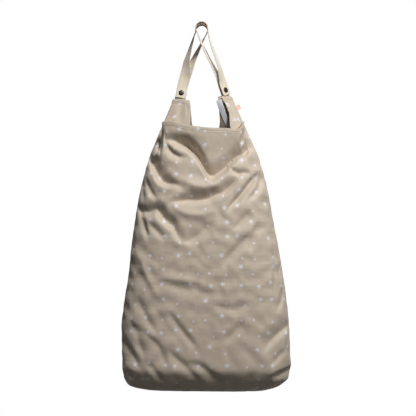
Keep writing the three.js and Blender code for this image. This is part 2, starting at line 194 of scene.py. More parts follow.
# %% Sections, mouth and ears
WIDTH, DEPTH, HEIGHT = 397 * MM, 150 * MM, 678 * MM
STRAP_DROP = 177 * MM
BASE_Z = -STRAP_DROP - HEIGHT
CLOTH = 1.2 * MM
STRAP_WIDTH, STRAP_THICKNESS = 25 * MM, 2 * MM

SECTIONS = table(["up", "left", "right", "front", "back", "square"], [
    [0.000, 0.655, 0.750, 0.40, 0.38, 2.6],
    [0.010, 0.815, 0.885, 0.58, 0.58, 2.8],
    [0.034, 0.910, 1.003, 0.785, 0.80, 3.0],
    [0.052, 0.930, 1.030, 0.895, 0.86, 3.1],
    [0.070, 0.940, 1.046, 0.972, 0.90, 3.2],
    [0.090, 0.945, 1.055, 0.995, 0.93, 3.2],
    [0.145, 0.945, 1.045, 1.00, 0.97, 3.2],
    [0.228, 0.945, 1.030, 1.00, 1.00, 3.1],
    [0.312, 0.910, 1.000, 0.99, 1.00, 3.0],
    [0.395, 0.865, 0.960, 0.98, 0.98, 2.9],
    [0.478, 0.838, 0.914, 0.96, 0.95, 2.8],
    [0.562, 0.800, 0.858, 0.93, 0.91, 2.7],
    [0.645, 0.755, 0.807, 0.88, 0.84, 2.6],
    [0.700, 0.715, 0.770, 0.84, 0.78, 2.5],
    [0.756, 0.665, 0.720, 0.78, 0.70, 2.4],
    [0.784, 0.637, 0.689, 0.74, 0.65, 2.4],
])
NECK = 0.784
MOUTH = [   # turn in degrees, then shares of half the width, half the depth and the height
    [0, 0.040, 0.66, 0.897], [20, -0.200, 0.64, 0.907], [36, -0.355, 0.58, 0.919],
    [50, -0.455, 0.46, 0.915], [57, -0.310, 0.35, 0.900], [63, -0.165, 0.26, 0.895],
    [69, -0.135, 0.18, 0.936], [75, -0.137, 0.10, 0.982], [118, -0.130, -0.16, 0.950],
    [138, -0.100, -0.32, 0.890], [180, 0.030, -0.45, 0.868], [222, 0.170, -0.30, 0.882],
    [240, 0.212, -0.12, 0.898], [250, 0.215, 0.04, 0.955], [286, 0.315, 0.19, 0.962],
    [292, 0.333, 0.29, 0.905], [298, 0.370, 0.35, 0.893], [304, 0.440, 0.40, 0.900],
    [310, 0.488, 0.48, 0.919], [322, 0.430, 0.58, 0.894], [340, 0.260, 0.65, 0.8945],
]
EAR_TOP = [  # turn from the seam, half strap widths towards the mouth, side of the strap, rise
    [11, 1.20, 1, -0.006], [7, 0.30, 1, 0.000], [3, -1.00, 1, 0.000], [0, -1.14, 0, -0.002],
    [-3, -1.00, -1, 0.000], [-8, 0.30, -1, 0.000], [-14, 1.50, -1, -0.005],
]
EARS = {
    "left": {"side": -1, "middle": (-0.257, 0.0, 1.0), "face": 90, "seam": 90},
    "right": {"side": 1, "middle": (0.287, 0.0, 1.01), "face": 48, "seam": 270},
}
EAR_ROOM = STRAP_THICKNESS / 2 + 2.4 * MM     # middle of the strap to the outside of the ear
EAR_REACH = STRAP_WIDTH / 2 + 2.0 * MM


def place(across, forward, up):
    """Points given in shares of half the width, half the depth and the height."""
    return np.stack(np.broadcast_arrays(
        np.asarray(across, float) * WIDTH / 2, -np.asarray(forward, float) * DEPTH / 2,
        BASE_Z + np.asarray(up, float) * HEIGHT), axis=-1)


def strap_axes(ear, face):
    """The strap's direction of width, towards the mouth, and the way its face looks."""
    sine, cosine = np.sin(np.radians(face)), np.cos(np.radians(face))
    zero = np.zeros_like(sine)
    wide = np.stack([-ear["side"] * sine, -cosine, zero], axis=-1)
    out = np.stack([ear["side"] * cosine, -sine, zero], axis=-1)
    return wide, out


def mouth_edge():
    """The edge of the mouth as a table by turn, lapped over at both ends."""
    rows = [[turn, *place(across, forward, up)] for turn, across, forward, up in MOUTH]
    for ear in EARS.values():
        wide, out = strap_axes(ear, ear["face"])
        for turn, beside, pinch, rise in EAR_TOP:
            point = place(*ear["middle"]) + wide * beside * EAR_REACH + out * pinch * EAR_ROOM
            point[2] += rise * HEIGHT
            rows.append([ear["seam"] + ear["side"] * turn, *point])
    rows = np.array(sorted(rows, key=lambda row: row[0]))
    lap = np.array([360, 0, 0, 0])
    return table(["turn", "x", "y", "z"], np.vstack([rows[-2:] - lap, rows, rows[:3] + lap]))


EDGE = mouth_edge()


def body_points(turn, up):
    """The filled bag below the neck."""
    left, right, front, back, square = (
        between(SECTIONS, "up", column, up)
        for column in ["left", "right", "front", "back", "square"])
    sine, cosine = np.sin(np.radians(turn)), np.cos(np.radians(turn))
    reach = (np.abs(sine) ** square + np.abs(cosine) ** square) ** (-1 / square)
    across = (right - left) / 2 - sine * reach * (left + right) / 2
    forward = cosine * reach * np.where(cosine > 0, front, back)
    return place(across, forward, up)


def mouth_points(turn, rise):
    """Above the neck: curves that leave the filled bag smoothly and end at the mouth's edge."""
    start = body_points(turn, NECK)
    end = np.stack([between(EDGE, "turn", column, turn) for column in "xyz"], axis=-1)
    step = 0.01
    climb = (end[..., 2:] - start[..., 2:]) / (step * HEIGHT)
    leave = (start - body_points(turn, NECK - step)) * climb
    rise = np.asarray(rise, float)[..., None]
    square, cube = rise ** 2, rise ** 3
    return (start * (2 * cube - 3 * square + 1) + leave * (cube - 2 * square + rise)
            + end * (3 * square - 2 * cube) + (end - start) * (cube - square))


print("mouth edge has", len(EDGE["turn"]), "points")

# %% [markdown]
# Folds of the front
#
# Laminated cloth is stiff and holds sharp folds. Most of them are stepped: the cloth falls back
# slowly towards a crease and comes out again at once on the far side. A cloth simulation alone would
# put its own folds in other places, so the main ones are laid by a table of lines, each with its
# depth and its reach on both sides. The simulation adds the small ones afterwards.

# %% Table of folds
# Each fold is its depth, its slow side, its steep side, and the points of its line, all in pixels of
# the picture. The slow side is on the left of the way that the line runs. A depth under 0 is a ridge.
FOLDS = [
    (3.4, 4, 2.6, [(161, 160), (161, 147), (162.5, 136), (164.5, 123)]),
    (3.4, 7, 2.6, [(188, 158), (181, 157.5), (175, 155), (171, 151), (168, 147), (165, 141)]),
    (7.6, 12, 5.0, [(141, 147), (146, 155.5), (150.5, 160.5), (154.2, 166), (157.6, 172.5),
                    (160.5, 178.8), (165.3, 182.4), (171, 184.7), (177.6, 185.5), (185, 188)]),
    (2.4, 5, 2.6, [(158, 201), (156, 197), (152, 191.5), (149, 186), (146.5, 176)]),
    (1.6, 4, 2.4, [(146, 203), (144.5, 195), (143.2, 187), (143, 178)]),
    (-2.2, 9, 9, [(178, 176), (186, 181.5), (195, 185.5), (206, 187), (217, 185.5), (228, 180)]),
    (6.0, 13, 3.4, [(166, 207), (172, 203), (180, 202), (190, 201.4), (198.7, 201.6),
                    (207.6, 199.7), (214.2, 197), (220.9, 194.3), (226, 191), (230, 187.5),
                    (234, 183), (238, 177.5), (243, 171)]),
    (-2.0, 8, 8, [(172, 204), (178, 209), (186, 213), (196, 214.5), (206, 213.5), (217, 210)]),
    (5.0, 11, 6.4, [(132, 204), (138, 208), (144.2, 210.8), (149.8, 212), (157.6, 210),
                    (160.5, 212), (164.2, 217), (169.8, 222.4), (175, 228.5), (180, 237)]),
    (1.7, 12, 5.6, [(171, 214), (173.5, 223), (176, 231), (179.5, 236.5), (186, 243)]),
    (2.4, 14, 9, [(182, 242.5), (192, 238), (200, 233), (207, 227), (214, 219)]),
    (2.8, 6, 3.0, [(151, 242), (147.5, 231), (145, 222), (143, 214), (139, 203)]),
    (1.8, 6, 5, [(148, 221), (155, 228), (160, 233), (167, 241)]),
    (3.0, 4, 2.6, [(244.8, 126), (243.4, 133), (241.4, 141), (240, 148)]),
    (4.0, 6, 2.4, [(242, 157), (246.8, 151.5), (248.8, 144), (250, 135)]),
    (2.4, 3, 2.2, [(236, 162), (240.5, 160.4), (244, 157.5), (248, 153)]),
    (2.8, 5.5, 3.0, [(229, 166), (233, 172), (238, 174.4), (243, 173.8), (251, 173)]),
    (5.4, 7, 3.2, [(262, 170), (257, 174.5), (253, 178.5), (248, 184.5), (243, 191),
                   (238, 197), (234, 201.5), (230, 206), (224, 213)]),
    (2.6, 5, 3.0, [(260, 170), (259.5, 181), (257.3, 188), (254, 193.5), (250, 197.5),
                   (245, 202.5)]),
    (1.8, 8, 6, [(250, 207), (244, 217), (238, 224), (231, 230)]),
    (1.8, 6, 4, [(258, 218), (253.5, 233), (250, 243), (246, 254)]),
    (2.0, 8, 6, [(253, 226), (247, 236), (240, 243), (233, 250), (227, 258), (222, 270)]),
    (1.8, 4, 4, [(269, 200), (272, 219), (275, 236), (277, 250)]),
    (1.8, 3, 3, [(271, 236), (273.5, 262), (273, 283), (277, 303)]),
    (1.8, 3, 3, [(276, 246), (278, 268), (279.5, 287)]),
    (2.6, 4, 3, [(283, 276), (281.5, 290), (278.5, 302), (273, 311)]),
    (-0.7, 6, 6, [(158, 270), (170, 276.5), (182, 277.5), (192, 279), (204, 282)]),
    (0.8, 10, 11, [(162, 280), (176, 285), (187, 287.5), (198, 289), (209, 292), (219, 296)]),
    (0.8, 9, 8, [(212, 302), (228, 305.5), (240, 304), (252, 299)]),
    (1.3, 8, 6, [(243, 316), (236, 326), (228, 334), (219, 341)]),
    (-1.1, 7, 8, [(134, 240), (139, 252), (145, 266), (151, 279), (158, 291), (165, 301)]),
    (1.2, 8, 5.9, [(161, 334), (152, 321), (147, 312), (142, 302), (138, 293)]),
    (0.9, 9, 6.9, [(187, 347), (176, 333), (168, 323), (161, 312), (155, 301)]),
    (1.5, 9, 6.1, [(200, 347), (189, 335), (181, 325.5), (174, 315.5), (168, 305)]),
    (1.4, 7, 5.7, [(148, 357), (142, 343), (139, 331), (134, 322), (129, 311)]),
    (2.3, 11, 5.9, [(144, 368), (137, 356), (131, 347), (125, 338), (118, 327)]),
    (1.6, 9, 5.7, [(170, 367), (164.5, 353), (160.5, 344), (155, 337), (146, 329)]),
    (2.1, 10, 6.1, [(202, 378), (191, 367.5), (184, 360), (177, 354), (167, 345)]),
    (1.9, 9, 6.1, [(225, 380), (212, 370.5), (203, 363.5), (195, 360), (184, 357)]),
    (1.6, 6, 5, [(168, 380), (160, 371), (153, 363), (146, 356)]),
    (-2.6, 5, 4, [(119, 357), (123, 366), (128, 373.5), (135, 380), (143, 384)]),
    (4.0, 14, 5.0, [(260, 351), (268, 340), (275, 332.5), (282, 327.5), (291, 322), (298, 317)]),
    (2.0, 5, 4.0, [(269, 362), (275, 355), (280, 351), (286, 345)]),
    (3.2, 7, 3.0, [(299, 363), (291, 366.3), (282, 369), (275, 370.8), (264, 373)]),
]
# The wide dent under the hem, measured straight down: from the hem the cloth falls back to its line
DENT = (13.0, 6.0, 5.6, [(165, 140.5), (173, 142), (180, 144.5), (186, 147), (190, 150),
                         (194.5, 154), (199, 159.5), (202, 164.5), (204.5, 169), (207.5, 174.5),
                         (210, 176.8), (214, 177), (218.2, 174.1), (223.8, 170.2), (228.2, 165.8),
                         (232.7, 160.8), (237.1, 157.4), (241.6, 155.2), (246, 152.4), (253, 147)])
DENT_LIP = (15.0, 0.45)              # pixels above the line that fall in fastest, and their share
DENT_TOP = 132.0                   # the picture's row where the dent begins
FRONT_EDGE = (64, 84)      # degrees from the middle of the front, over which the folds fade
CREASE_SOFT = 0.5          # pixels over which a crease is rounded
SLOPE_POWER = 1.6          # above 1, cloth falls faster the nearer it is to the crease
FOLD_TAPER, DENT_TAPER = 0.34, 0.30    # shares of a line over which it fades at each end


def from_picture(points):
    """Pixels of the picture as metres across and up."""
    return (np.asarray(points, float) - HANG_PIXEL) * [PIXEL, -PIXEL]


def fold_line(pixels, places=26):
    """Even points on a smooth curve through a fold's pixels."""
    points = from_picture(pixels)
    at = np.concatenate([[0], np.cumsum(np.linalg.norm(np.diff(points, axis=0), axis=1))])
    rows = {"at": at, "x": points[:, 0], "z": points[:, 1]}
    even = np.linspace(0, at[-1], places)
    return np.stack([between(rows, "at", "x", even), between(rows, "at", "z", even)], axis=-1)


def nearest_on_line(line, x, z):
    """Each point's distance to a line, plus on its left, and how far along the line it is."""
    best = np.full(x.shape, np.inf)
    off, along = np.zeros(x.shape), np.zeros(x.shape)
    last = len(line) - 1
    for piece in range(last):
        start, run = line[piece], line[piece + 1] - line[piece]
        away_x, away_z = x - start[0], z - start[1]
        share = (away_x * run[0] + away_z * run[1]) / (run @ run)
        inside = np.clip(share, 0, 1)
        distance = np.hypot(away_x - inside * run[0], away_z - inside * run[1])
        side = np.sign(run[0] * away_z - run[1] * away_x)
        nearer = distance < best
        best = np.where(nearer, distance, best)
        off = np.where(nearer, side * distance, off)
        along = np.where(nearer, (piece + inside) / last, along)
    return off, along


def dent_depth(points):
    """The dent under the hem: deepest at its line, which is also its sharp lower edge."""
    deep, soft_edge, sharp_edge, pixels = DENT
    line = from_picture(pixels)
    rows = {"x": line[:, 0], "z": line[:, 1]}
    share = (points[..., 0] - rows["x"][0]) / (rows["x"][-1] - rows["x"][0])
    line_z = between(rows, "x", "z", np.clip(points[..., 0], rows["x"][0], rows["x"][-1]))
    top_z = from_picture([(0, DENT_TOP)])[0, 1]
    taper = smoothstep(np.minimum(share, 1 - share), 0.0, DENT_TAPER)
    height = points[..., 2] - line_z
    steep = sharp_edge + (soft_edge - sharp_edge) * (1 - smoothstep(share, 0.30, 0.52))
    top = np.maximum(top_z - line_z, 4 * PIXEL)
    lip, lip_share = DENT_LIP
    soft = CREASE_SOFT * PIXEL
    round_height = np.sqrt(height ** 2 + soft ** 2) - soft
    depth = 0
    for reach, part in ((np.minimum(lip * PIXEL, top), lip_share), (top, 1 - lip_share)):
        away = round_height / np.where(height > 0, reach, steep * PIXEL)
        depth = depth + part * np.maximum(1 - away, 0) ** SLOPE_POWER
    return deep * PIXEL * (0.2 + 0.8 * taper) * (taper > 0) * depth


def fold_depth(points, turn):
    """How far the folds push each point of the front in."""
    from_middle = np.minimum(turn, 360 - turn)
    fade = np.broadcast_to(1 - smoothstep(from_middle, *FRONT_EDGE), points.shape[:-1])
    depth = dent_depth(points)
    for deep, slow, steep, pixels in FOLDS:
        line = fold_line(pixels)
        margin = (slow + steep) * PIXEL
        near = (fade > 0)
        for axis, column in ((0, 0), (2, 1)):
            near &= points[..., axis] > line[:, column].min() - margin
            near &= points[..., axis] < line[:, column].max() + margin
        off, along = nearest_on_line(line, points[near][:, 0], points[near][:, 2])
        taper = smoothstep(np.minimum(along, 1 - along), 0.0, FOLD_TAPER)
        reach = np.where(off > 0, slow, steep) * PIXEL * (0.35 + 0.65 * taper)
        soft = CREASE_SOFT * PIXEL
        away = (np.sqrt(off ** 2 + soft ** 2) - soft) / reach
        depth[near] += deep * PIXEL * taper * np.maximum(1 - away, 0) ** SLOPE_POWER
    return depth * fade


print("folds:", len(FOLDS))

# %% Sheet of cloth with its folds
COLUMN_RUNS = [(50, 75), (90, 42), (104, 9), (256, 42), (270, 9), (310, 42), (360, 75)]
BODY_ROWS = 198
LOWER_MOUTH_ROWS, HEM_ROWS = 30, 13
COARSE = 3                         # the inner face has one point for this many of the outer
HEM_START = 0.88                   # rise above which the rows lie closer, for the hem
HEM_WIDTH = 9.5 * MM
HEM_STEP = 1.1 * MM                # the turned-in cloth makes the hem this much prouder
STITCH_LINE = 7.6 * MM             # the hem's line of stitches, from the edge
STITCH_FURROW = 0.7 * MM
SEAM_TURNS = (90, 270)
SEAM_FURROW, SEAM_REACH = 1.3 * MM, 2.6 * MM


def column_turns():
    """Turns of the columns of the mesh, closest at the front and where the shoulders fold."""
    turns, start = [], 0.0
    for end, count in COLUMN_RUNS:
        turns.extend(start + (end - start) * np.arange(count) / count)
        start = end
    return np.array(turns)


def spread(values, times):
    """Values of a grid, each averaged with its neighbours, a few times over."""
    for _ in range(times):
        sides = np.roll(values, 1, axis=1) + np.roll(values, -1, axis=1)
        values = 0.5 * values + 0.25 * sides
        above = np.concatenate([values[1:], values[-1:]])
        below = np.concatenate([values[:1], values[:-1]])
        values = 0.5 * values + 0.25 * (above + below)
    return values


def finer(coarse, step, shape):
    """A coarse grid's values at each place of a grid with step times as many places."""
    row, column = np.arange(shape[0]) / step, np.arange(shape[1]) / step
    low, left = np.minimum(row.astype(int), coarse.shape[0] - 2), column.astype(int)
    right = (left + 1) % coarse.shape[1]
    up, side = (row - low)[:, None, None], (column - left)[None, :, None]
    below = coarse[low][:, left] * (1 - side) + coarse[low][:, right] * side
    above = coarse[low + 1][:, left] * (1 - side) + coarse[low + 1][:, right] * side
    return below * (1 - up) + above * up


def grid_normals(points):
    """Ways out of the cloth at each point of a grid that closes on itself sideways."""
    around = np.roll(points, -1, axis=1) - np.roll(points, 1, axis=1)
    up = np.gradient(points, axis=0)
    return unit(np.cross(up, around))


def from_edge(points):
    """Each point's distance from the mouth's edge, down its own column."""
    steps = np.linalg.norm(np.diff(points, axis=0), axis=-1)
    down = np.cumsum(steps[::-1], axis=0)[::-1]
    return np.vstack([down, np.zeros((1, points.shape[1]))])


# Millimetres deep, or proud where negative, pixels wide, and the pixels that each runs through
EAR_CREASES = {
    "left": ((66, 96), [
        (1.1, 2.6, [(180.5, 99), (180, 112), (180.5, 127)]),
        (-1.0, 2.4, [(185, 100), (186, 113), (186.5, 128)]),
        (-0.7, 2.2, [(176.5, 100), (175.5, 112), (174.5, 126)])]),
    "right": ((264, 296), [
        (-0.9, 2.6, [(231, 97), (235, 111), (239, 126)])]),
}


def cloth_grid():
    """Points of the outer face of the cloth, rows from the base to the mouth's edge."""
    turns = column_turns()
    ups = NECK * (np.linspace(0, 1, BODY_ROWS, endpoint=False) ** 0.9)
    body = body_points(turns[None, :], ups[:, None])
    rises = np.concatenate([np.linspace(0, HEM_START, LOWER_MOUTH_ROWS, endpoint=False),
                            np.linspace(HEM_START, 1, HEM_ROWS)])
    shape = (len(rises), len(turns))
    mouth = mouth_points(np.broadcast_to(turns, shape), np.broadcast_to(rises[:, None], shape))
    plain = np.vstack([body, mouth])
    rise = np.concatenate([np.zeros(BODY_ROWS), rises])[:, None]
    slack = 1 - smoothstep(rise, 0.6, 0.97)
    points = plain.copy()
    points[..., 1] += spread(fold_depth(plain, turns[None, :]) * slack, 2)
    return points, plain, turns


def add_hem(points):
    """Raises the hem and sinks its line of stitches."""
    edge = from_edge(points)
    proud = HEM_STEP * (1 - smoothstep(edge, HEM_WIDTH - 0.6 * MM, HEM_WIDTH + 0.9 * MM))
    sunk = STITCH_FURROW * np.exp(-((edge - STITCH_LINE) / (1.0 * MM)) ** 2)
    return points + grid_normals(points) * (proud - sunk)[..., None]


def add_seams(points, turns):
    """Draws the cloth in along the two side seams."""
    sunk = np.zeros(points.shape[:2])
    for seam in SEAM_TURNS:
        column = int(np.argmin(np.abs(turns - seam)))
        away = np.linalg.norm(points - points[:, column:column + 1], axis=-1)
        near = np.abs(turns - seam)[None, :] < 25
        sunk += near * SEAM_FURROW * np.exp(-(away / SEAM_REACH) ** 2)
    return points - grid_normals(points) * sunk[..., None]


def ear_creases(points, turns):
    """The small upright creases in the ears, where the straps gather them."""
    depth = np.zeros(points.shape[:2])
    for (first, last), lines in EAR_CREASES.values():
        near = np.broadcast_to((turns > first) & (turns < last), depth.shape)
        for deep, wide, pixels in lines:
            off, along = nearest_on_line(fold_line(pixels), points[near][:, 0], points[near][:, 2])
            ends = smoothstep(np.minimum(along, 1 - along), 0, 0.3)
            depth[near] += deep * MM * ends * np.exp(-(off / (wide * PIXEL)) ** 2)
    return points - grid_normals(points) * depth[..., None]


def grid_faces(rows, columns, start=0):
    """Faces of a grid that closes on itself sideways, with a fan at the bottom."""
    faces = []
    for row in range(rows - 1):
        for column in range(columns):
            beside = (column + 1) % columns
            faces.append((start + row * columns + column, start + (row + 1) * columns + column,
                          start + (row + 1) * columns + beside, start + row * columns + beside))
    pole = start + rows * columns
    faces.extend((pole, start + column, start + (column + 1) % columns)
                 for column in range(columns))
    return faces


grid, plain_grid, turns = cloth_grid()
ROWS, COLUMNS = grid.shape[:2]
print("cloth grid:", ROWS, "rows of", COLUMNS)

# %% [markdown]
# Small wrinkles
#
# The table has the folds that the load and the straps make. The small creases between them are left
# to a cloth simulation. A coarser copy of the sheet gets a little more cloth than fits in its place,
# so it buckles by itself. Its mouth is held, and soft ties keep the rest near its place. Only the
# wrinkles are kept of the result, and the swelling is taken out again.

# %% Cloth simulation
SETTLE_STEP = 3                    # the simulated sheet has one point for this many
SETTLE_FRAMES = 20
SETTLE_SEED, UNEVEN = 11, 0.25 * MM
EXTRA_CLOTH = 0.045
SETTLE_REACH = 5.5 * MM            # a wrinkle moves no point further
SWELL_SPREAD = 60                  # what stays after so much averaging is swelling
BACK_SHARE = 0.5                   # the flatter back wrinkles less
BACK_CENTRE = 180
BODY_TIE, SEAM_TIE = 0.2, 0.7
CLOTH_SETTINGS = {
    "quality": 4, "mass": 0.15, "air_damping": 2, "tension_stiffness": 25,
    "compression_stiffness": 25, "shear_stiffness": 10, "bending_stiffness": 0.9,
    "shrink_min": -EXTRA_CLOTH, "vertex_group_mass": "held", "pin_stiffness": 1.0,
}


def settled(points, turns):
    """The sheet with the small wrinkles that extra cloth makes."""
    coarse = points[::SETTLE_STEP, ::SETTLE_STEP]
    rows, columns = coarse.shape[:2]
    uneven = np.random.default_rng(SETTLE_SEED).normal(0, UNEVEN, coarse.shape)
    bottom = coarse[0].mean(axis=0)
    piece = make_mesh("settling_cloth", np.vstack([(coarse + uneven).reshape(-1, 3), bottom]),
                      grid_faces(rows, columns))
    held = piece.vertex_groups.new(name="held")
    rim = smoothstep(np.arange(rows), BODY_ROWS / SETTLE_STEP,
                     (BODY_ROWS + LOWER_MOUTH_ROWS) / SETTLE_STEP)
    by_seam = np.abs((turns[::SETTLE_STEP] % 180) - 90)
    body = BODY_TIE + (SEAM_TIE - BODY_TIE) * (1 - smoothstep(by_seam, 4, 24))
    ties = rim[:, None] + (1 - rim[:, None]) * body
    for corner, tie in enumerate(ties.ravel()):
        held.add([corner], float(tie), "REPLACE")
    held.add([rows * columns], 1.0, "REPLACE")
    cloth = piece.modifiers.new("cloth", "CLOTH")
    for name, value in CLOTH_SETTINGS.items():
        setattr(cloth.settings, name, value)
    cloth.settings.effector_weights.gravity = 0
    cloth.collision_settings.use_collision = False
    cloth.point_cache.frame_start, cloth.point_cache.frame_end = 1, SETTLE_FRAMES
    for moment in range(1, SETTLE_FRAMES + 1):
        bpy.context.scene.frame_set(moment)
    after = np.empty(3 * (rows * columns + 1))
    evaluated = piece.evaluated_get(bpy.context.evaluated_depsgraph_get())
    evaluated.data.vertices.foreach_get("co", after)
    bpy.data.objects.remove(piece)
    bpy.context.scene.frame_set(1)
    shift = after[:-3].reshape(rows, columns, 3) - coarse
    shift = spread(shift, 1) - spread(shift, SWELL_SPREAD)
    length = np.linalg.norm(shift, axis=-1, keepdims=True)
    shift *= np.minimum(1, SETTLE_REACH / np.maximum(length, 1e-9))
    from_back = np.abs(turns[::SETTLE_STEP] - BACK_CENTRE)
    shift *= BACK_SHARE + (1 - BACK_SHARE) * smoothstep(from_back, 40, 80)[:, None]
    print("wrinkles move a point by up to", round(float(length.max()) / MM, 1), "mm, and by",
          round(float(length.mean()) / MM, 2), "mm on average")
    return points + finer(shift, SETTLE_STEP, points.shape)


grid = settled(grid, turns)
grid = add_hem(add_seams(ear_creases(grid, turns), turns))

# %% Print coordinates
PANEL_SHIFT = 1.0                   # metres between the two panels' prints
SHOULDER_FOLD = 60                  # turn of the hidden fold between the front and an ear


def print_coordinates(points, centre):
    """Lengths along the cloth from a panel's middle column: across, and up from the base."""
    facing = grid_normals(points)
    up = unit(np.array([0, 0, 1]) - facing * facing[..., 2:])
    closed = np.concatenate([points, points[:, :1]], axis=1)
    up = np.concatenate([up, up[:, :1]], axis=1)
    beside = np.cross(np.concatenate([facing, facing[:, :1]], axis=1), up)
    steps = np.diff(closed, axis=1)
    across = np.sum(steps * (beside[:, 1:] + beside[:, :-1]) / 2, axis=-1)
    rises = np.sum(steps * (up[:, 1:] + up[:, :-1]) / 2, axis=-1)
    start = np.zeros((len(points), 1))
    across = np.concatenate([start, np.cumsum(across, axis=1)], axis=1)
    rises = np.concatenate([start, np.cumsum(rises, axis=1)], axis=1)
    across = across - across[:, centre:centre + 1]
    rises = column_length(points, centre) + rises - rises[:, centre:centre + 1]
    return across, rises


def column_length(points, column):
    """Lengths up a column of a grid, at each of its rows."""
    steps = np.linalg.norm(np.diff(points[:, column], axis=0), axis=-1)
    return np.concatenate([[0], np.cumsum(steps)])[:, None]


def from_seam(points, turns, across, up):
    """In the ears, behind the shoulders' folds, the print is measured from the side seams."""
    across, up = across.copy(), up.copy()
    for seam, hidden in ((SEAM_TURNS[0], SHOULDER_FOLD), (SEAM_TURNS[1], 360 - SHOULDER_FOLD)):
        column = int(np.argmin(np.abs(turns - seam)))
        run = column_length(points, column)
        low = min(hidden, seam)
        ear = np.append((turns >= low) & (turns <= max(hidden, seam)), False)
        shift = across[BODY_ROWS, column] - across[BODY_ROWS:, column:column + 1]
        across[BODY_ROWS:, ear] += shift
        risen = up[BODY_ROWS, column] + run[BODY_ROWS:] - run[BODY_ROWS]
        lift = risen - up[BODY_ROWS:, column:column + 1]
        up[BODY_ROWS:, ear] += lift
    return across, up


def panel_uv(points, turns):
    """Print coordinates of each face's corners, with the panels parted at the side seams."""
    left, right, back = (
        int(np.argmin(np.abs(turns - turn))) for turn in (*SEAM_TURNS, BACK_CENTRE))
    front_across, front_up = from_seam(points, turns, *print_coordinates(points, 0))
    back_across, back_up = print_coordinates(points, back)
    rows, columns = points.shape[:2]
    whole_across, whole_up = front_across[:, -1], front_up[:, -1] - front_up[:, 0]
    uv = []
    for row in range(rows - 1):
        for column in range(columns):
            after = column + 1
            for level, place in ((row, column), (row + 1, column), (row + 1, after), (row, after)):
                across, up = front_across[level, place], front_up[level, place]
                if column >= right:
                    across, up = across - whole_across[level], up - whole_up[level]
                elif column >= left:
                    across, up = back_across[level, place] + PANEL_SHIFT, back_up[level, place]
                uv.append((-across, up))
    for column in range(columns):
        uv.append((0.0, -0.03))
        uv.extend((-front_across[0, place], front_up[0, place])
                  for place in (column, (column + 1) % columns))
    return uv


# %% [markdown]
# Printed cloth
#
# The cloth is a fine knit with a thin film behind it, beige, with little stars scattered over it.
# A picture of the print would have to be unwrapped and would blur close up. Here the print is worked
# out from lengths along the cloth instead: a cell pattern gives each star its place, its turn and its
# size, and a few sums give the outline of a five-pointed star. Fine bumps give the knit.

# %% Shader helpers
def new_material(name, **values):
    """A material with its shader's own values set."""
    material = bpy.data.materials.new(name)
    material.use_nodes = True
    shader = material.node_tree.nodes["Principled BSDF"]
    for key, value in values.items():
        shader.inputs[key.replace("_", " ")].default_value = value
    return material, material.node_tree, shader


def add_node(tree, kind, **settings):
    """A node with its settings and, for numbers in brackets, its inputs."""
    node = tree.nodes.new(kind)
    for key, value in settings.items():
        if key == "inputs":
            for name, number in value.items():
                node.inputs[name].default_value = number
        else:
            setattr(node, key, value)
    return node


def sum_node(tree, operation, first, second=None, third=None):
    """A Math node; each input is a number or another node's output."""
    node = tree.nodes.new("ShaderNodeMath")
    node.operation = operation
    for place, value in enumerate((first, second, third)):
        if value is None:
            continue
        if isinstance(value, (int, float)):
            node.inputs[place].default_value = value
        else:
            tree.links.new(value, node.inputs[place])
    return node.outputs[0]


def noise_node(tree, vector, scale, detail, rough):
    """Noise of one scale, as a value around a half."""
    node = add_node(tree, "ShaderNodeTexNoise",
                    inputs={"Scale": scale, "Detail": detail, "Roughness": rough})
    tree.links.new(vector, node.inputs["Vector"])
    return node.outputs["Fac"]


def print_uv(tree):
    """The print's coordinates on a piece."""
    return add_node(tree, "ShaderNodeUVMap", uv_map="print").outputs["UV"]


def two_tone(tree, shader, factor, dark, light, places=(0.0, 1.0)):
    """Colours a shader from a dark to a light tone by another node's output."""
    ramp = add_node(tree, "ShaderNodeValToRGB")
    for element, colour, position in zip(ramp.color_ramp.elements, (dark, light), places):
        element.color = (*colour, 1)
        element.position = position
    tree.links.new(factor, ramp.inputs["Fac"])
    tree.links.new(ramp.outputs["Color"], shader.inputs["Base Color"])


def bump_chain(tree, shader, layers):
    """Joins bump layers, each a height and its depth in metres, into the shader's normal."""
    normal = None
    for height, depth in layers:
        bump = add_node(tree, "ShaderNodeBump", inputs={"Strength": 1.0, "Distance": depth})
        tree.links.new(height, bump.inputs["Height"])
        if normal is not None:
            tree.links.new(normal, bump.inputs["Normal"])
        normal = bump.outputs["Normal"]
    tree.links.new(normal, shader.inputs["Normal"])


# %% Stars and cloth
STAR_SPACING = 36 * MM
STAR_RADIUS = 7.4 * MM
STAR_POINTS = 5
STAR_NOTCH = 0.42                  # the notches' distance from the middle, to the points'
STAR_SMALL, SMALL_SHARE = 0.64, 0.42    # size of the small stars, and how many are small
STAR_KEPT = 0.94                   # share of the cells that have a star
STAR_EDGE = (1.22, 0.62)           # the ink fades out and is full at these shares of the outline
CLOTH_COLOUR = (0.52, 0.438, 0.348)
STAR_COLOUR = (0.67, 0.65, 0.66, 1)


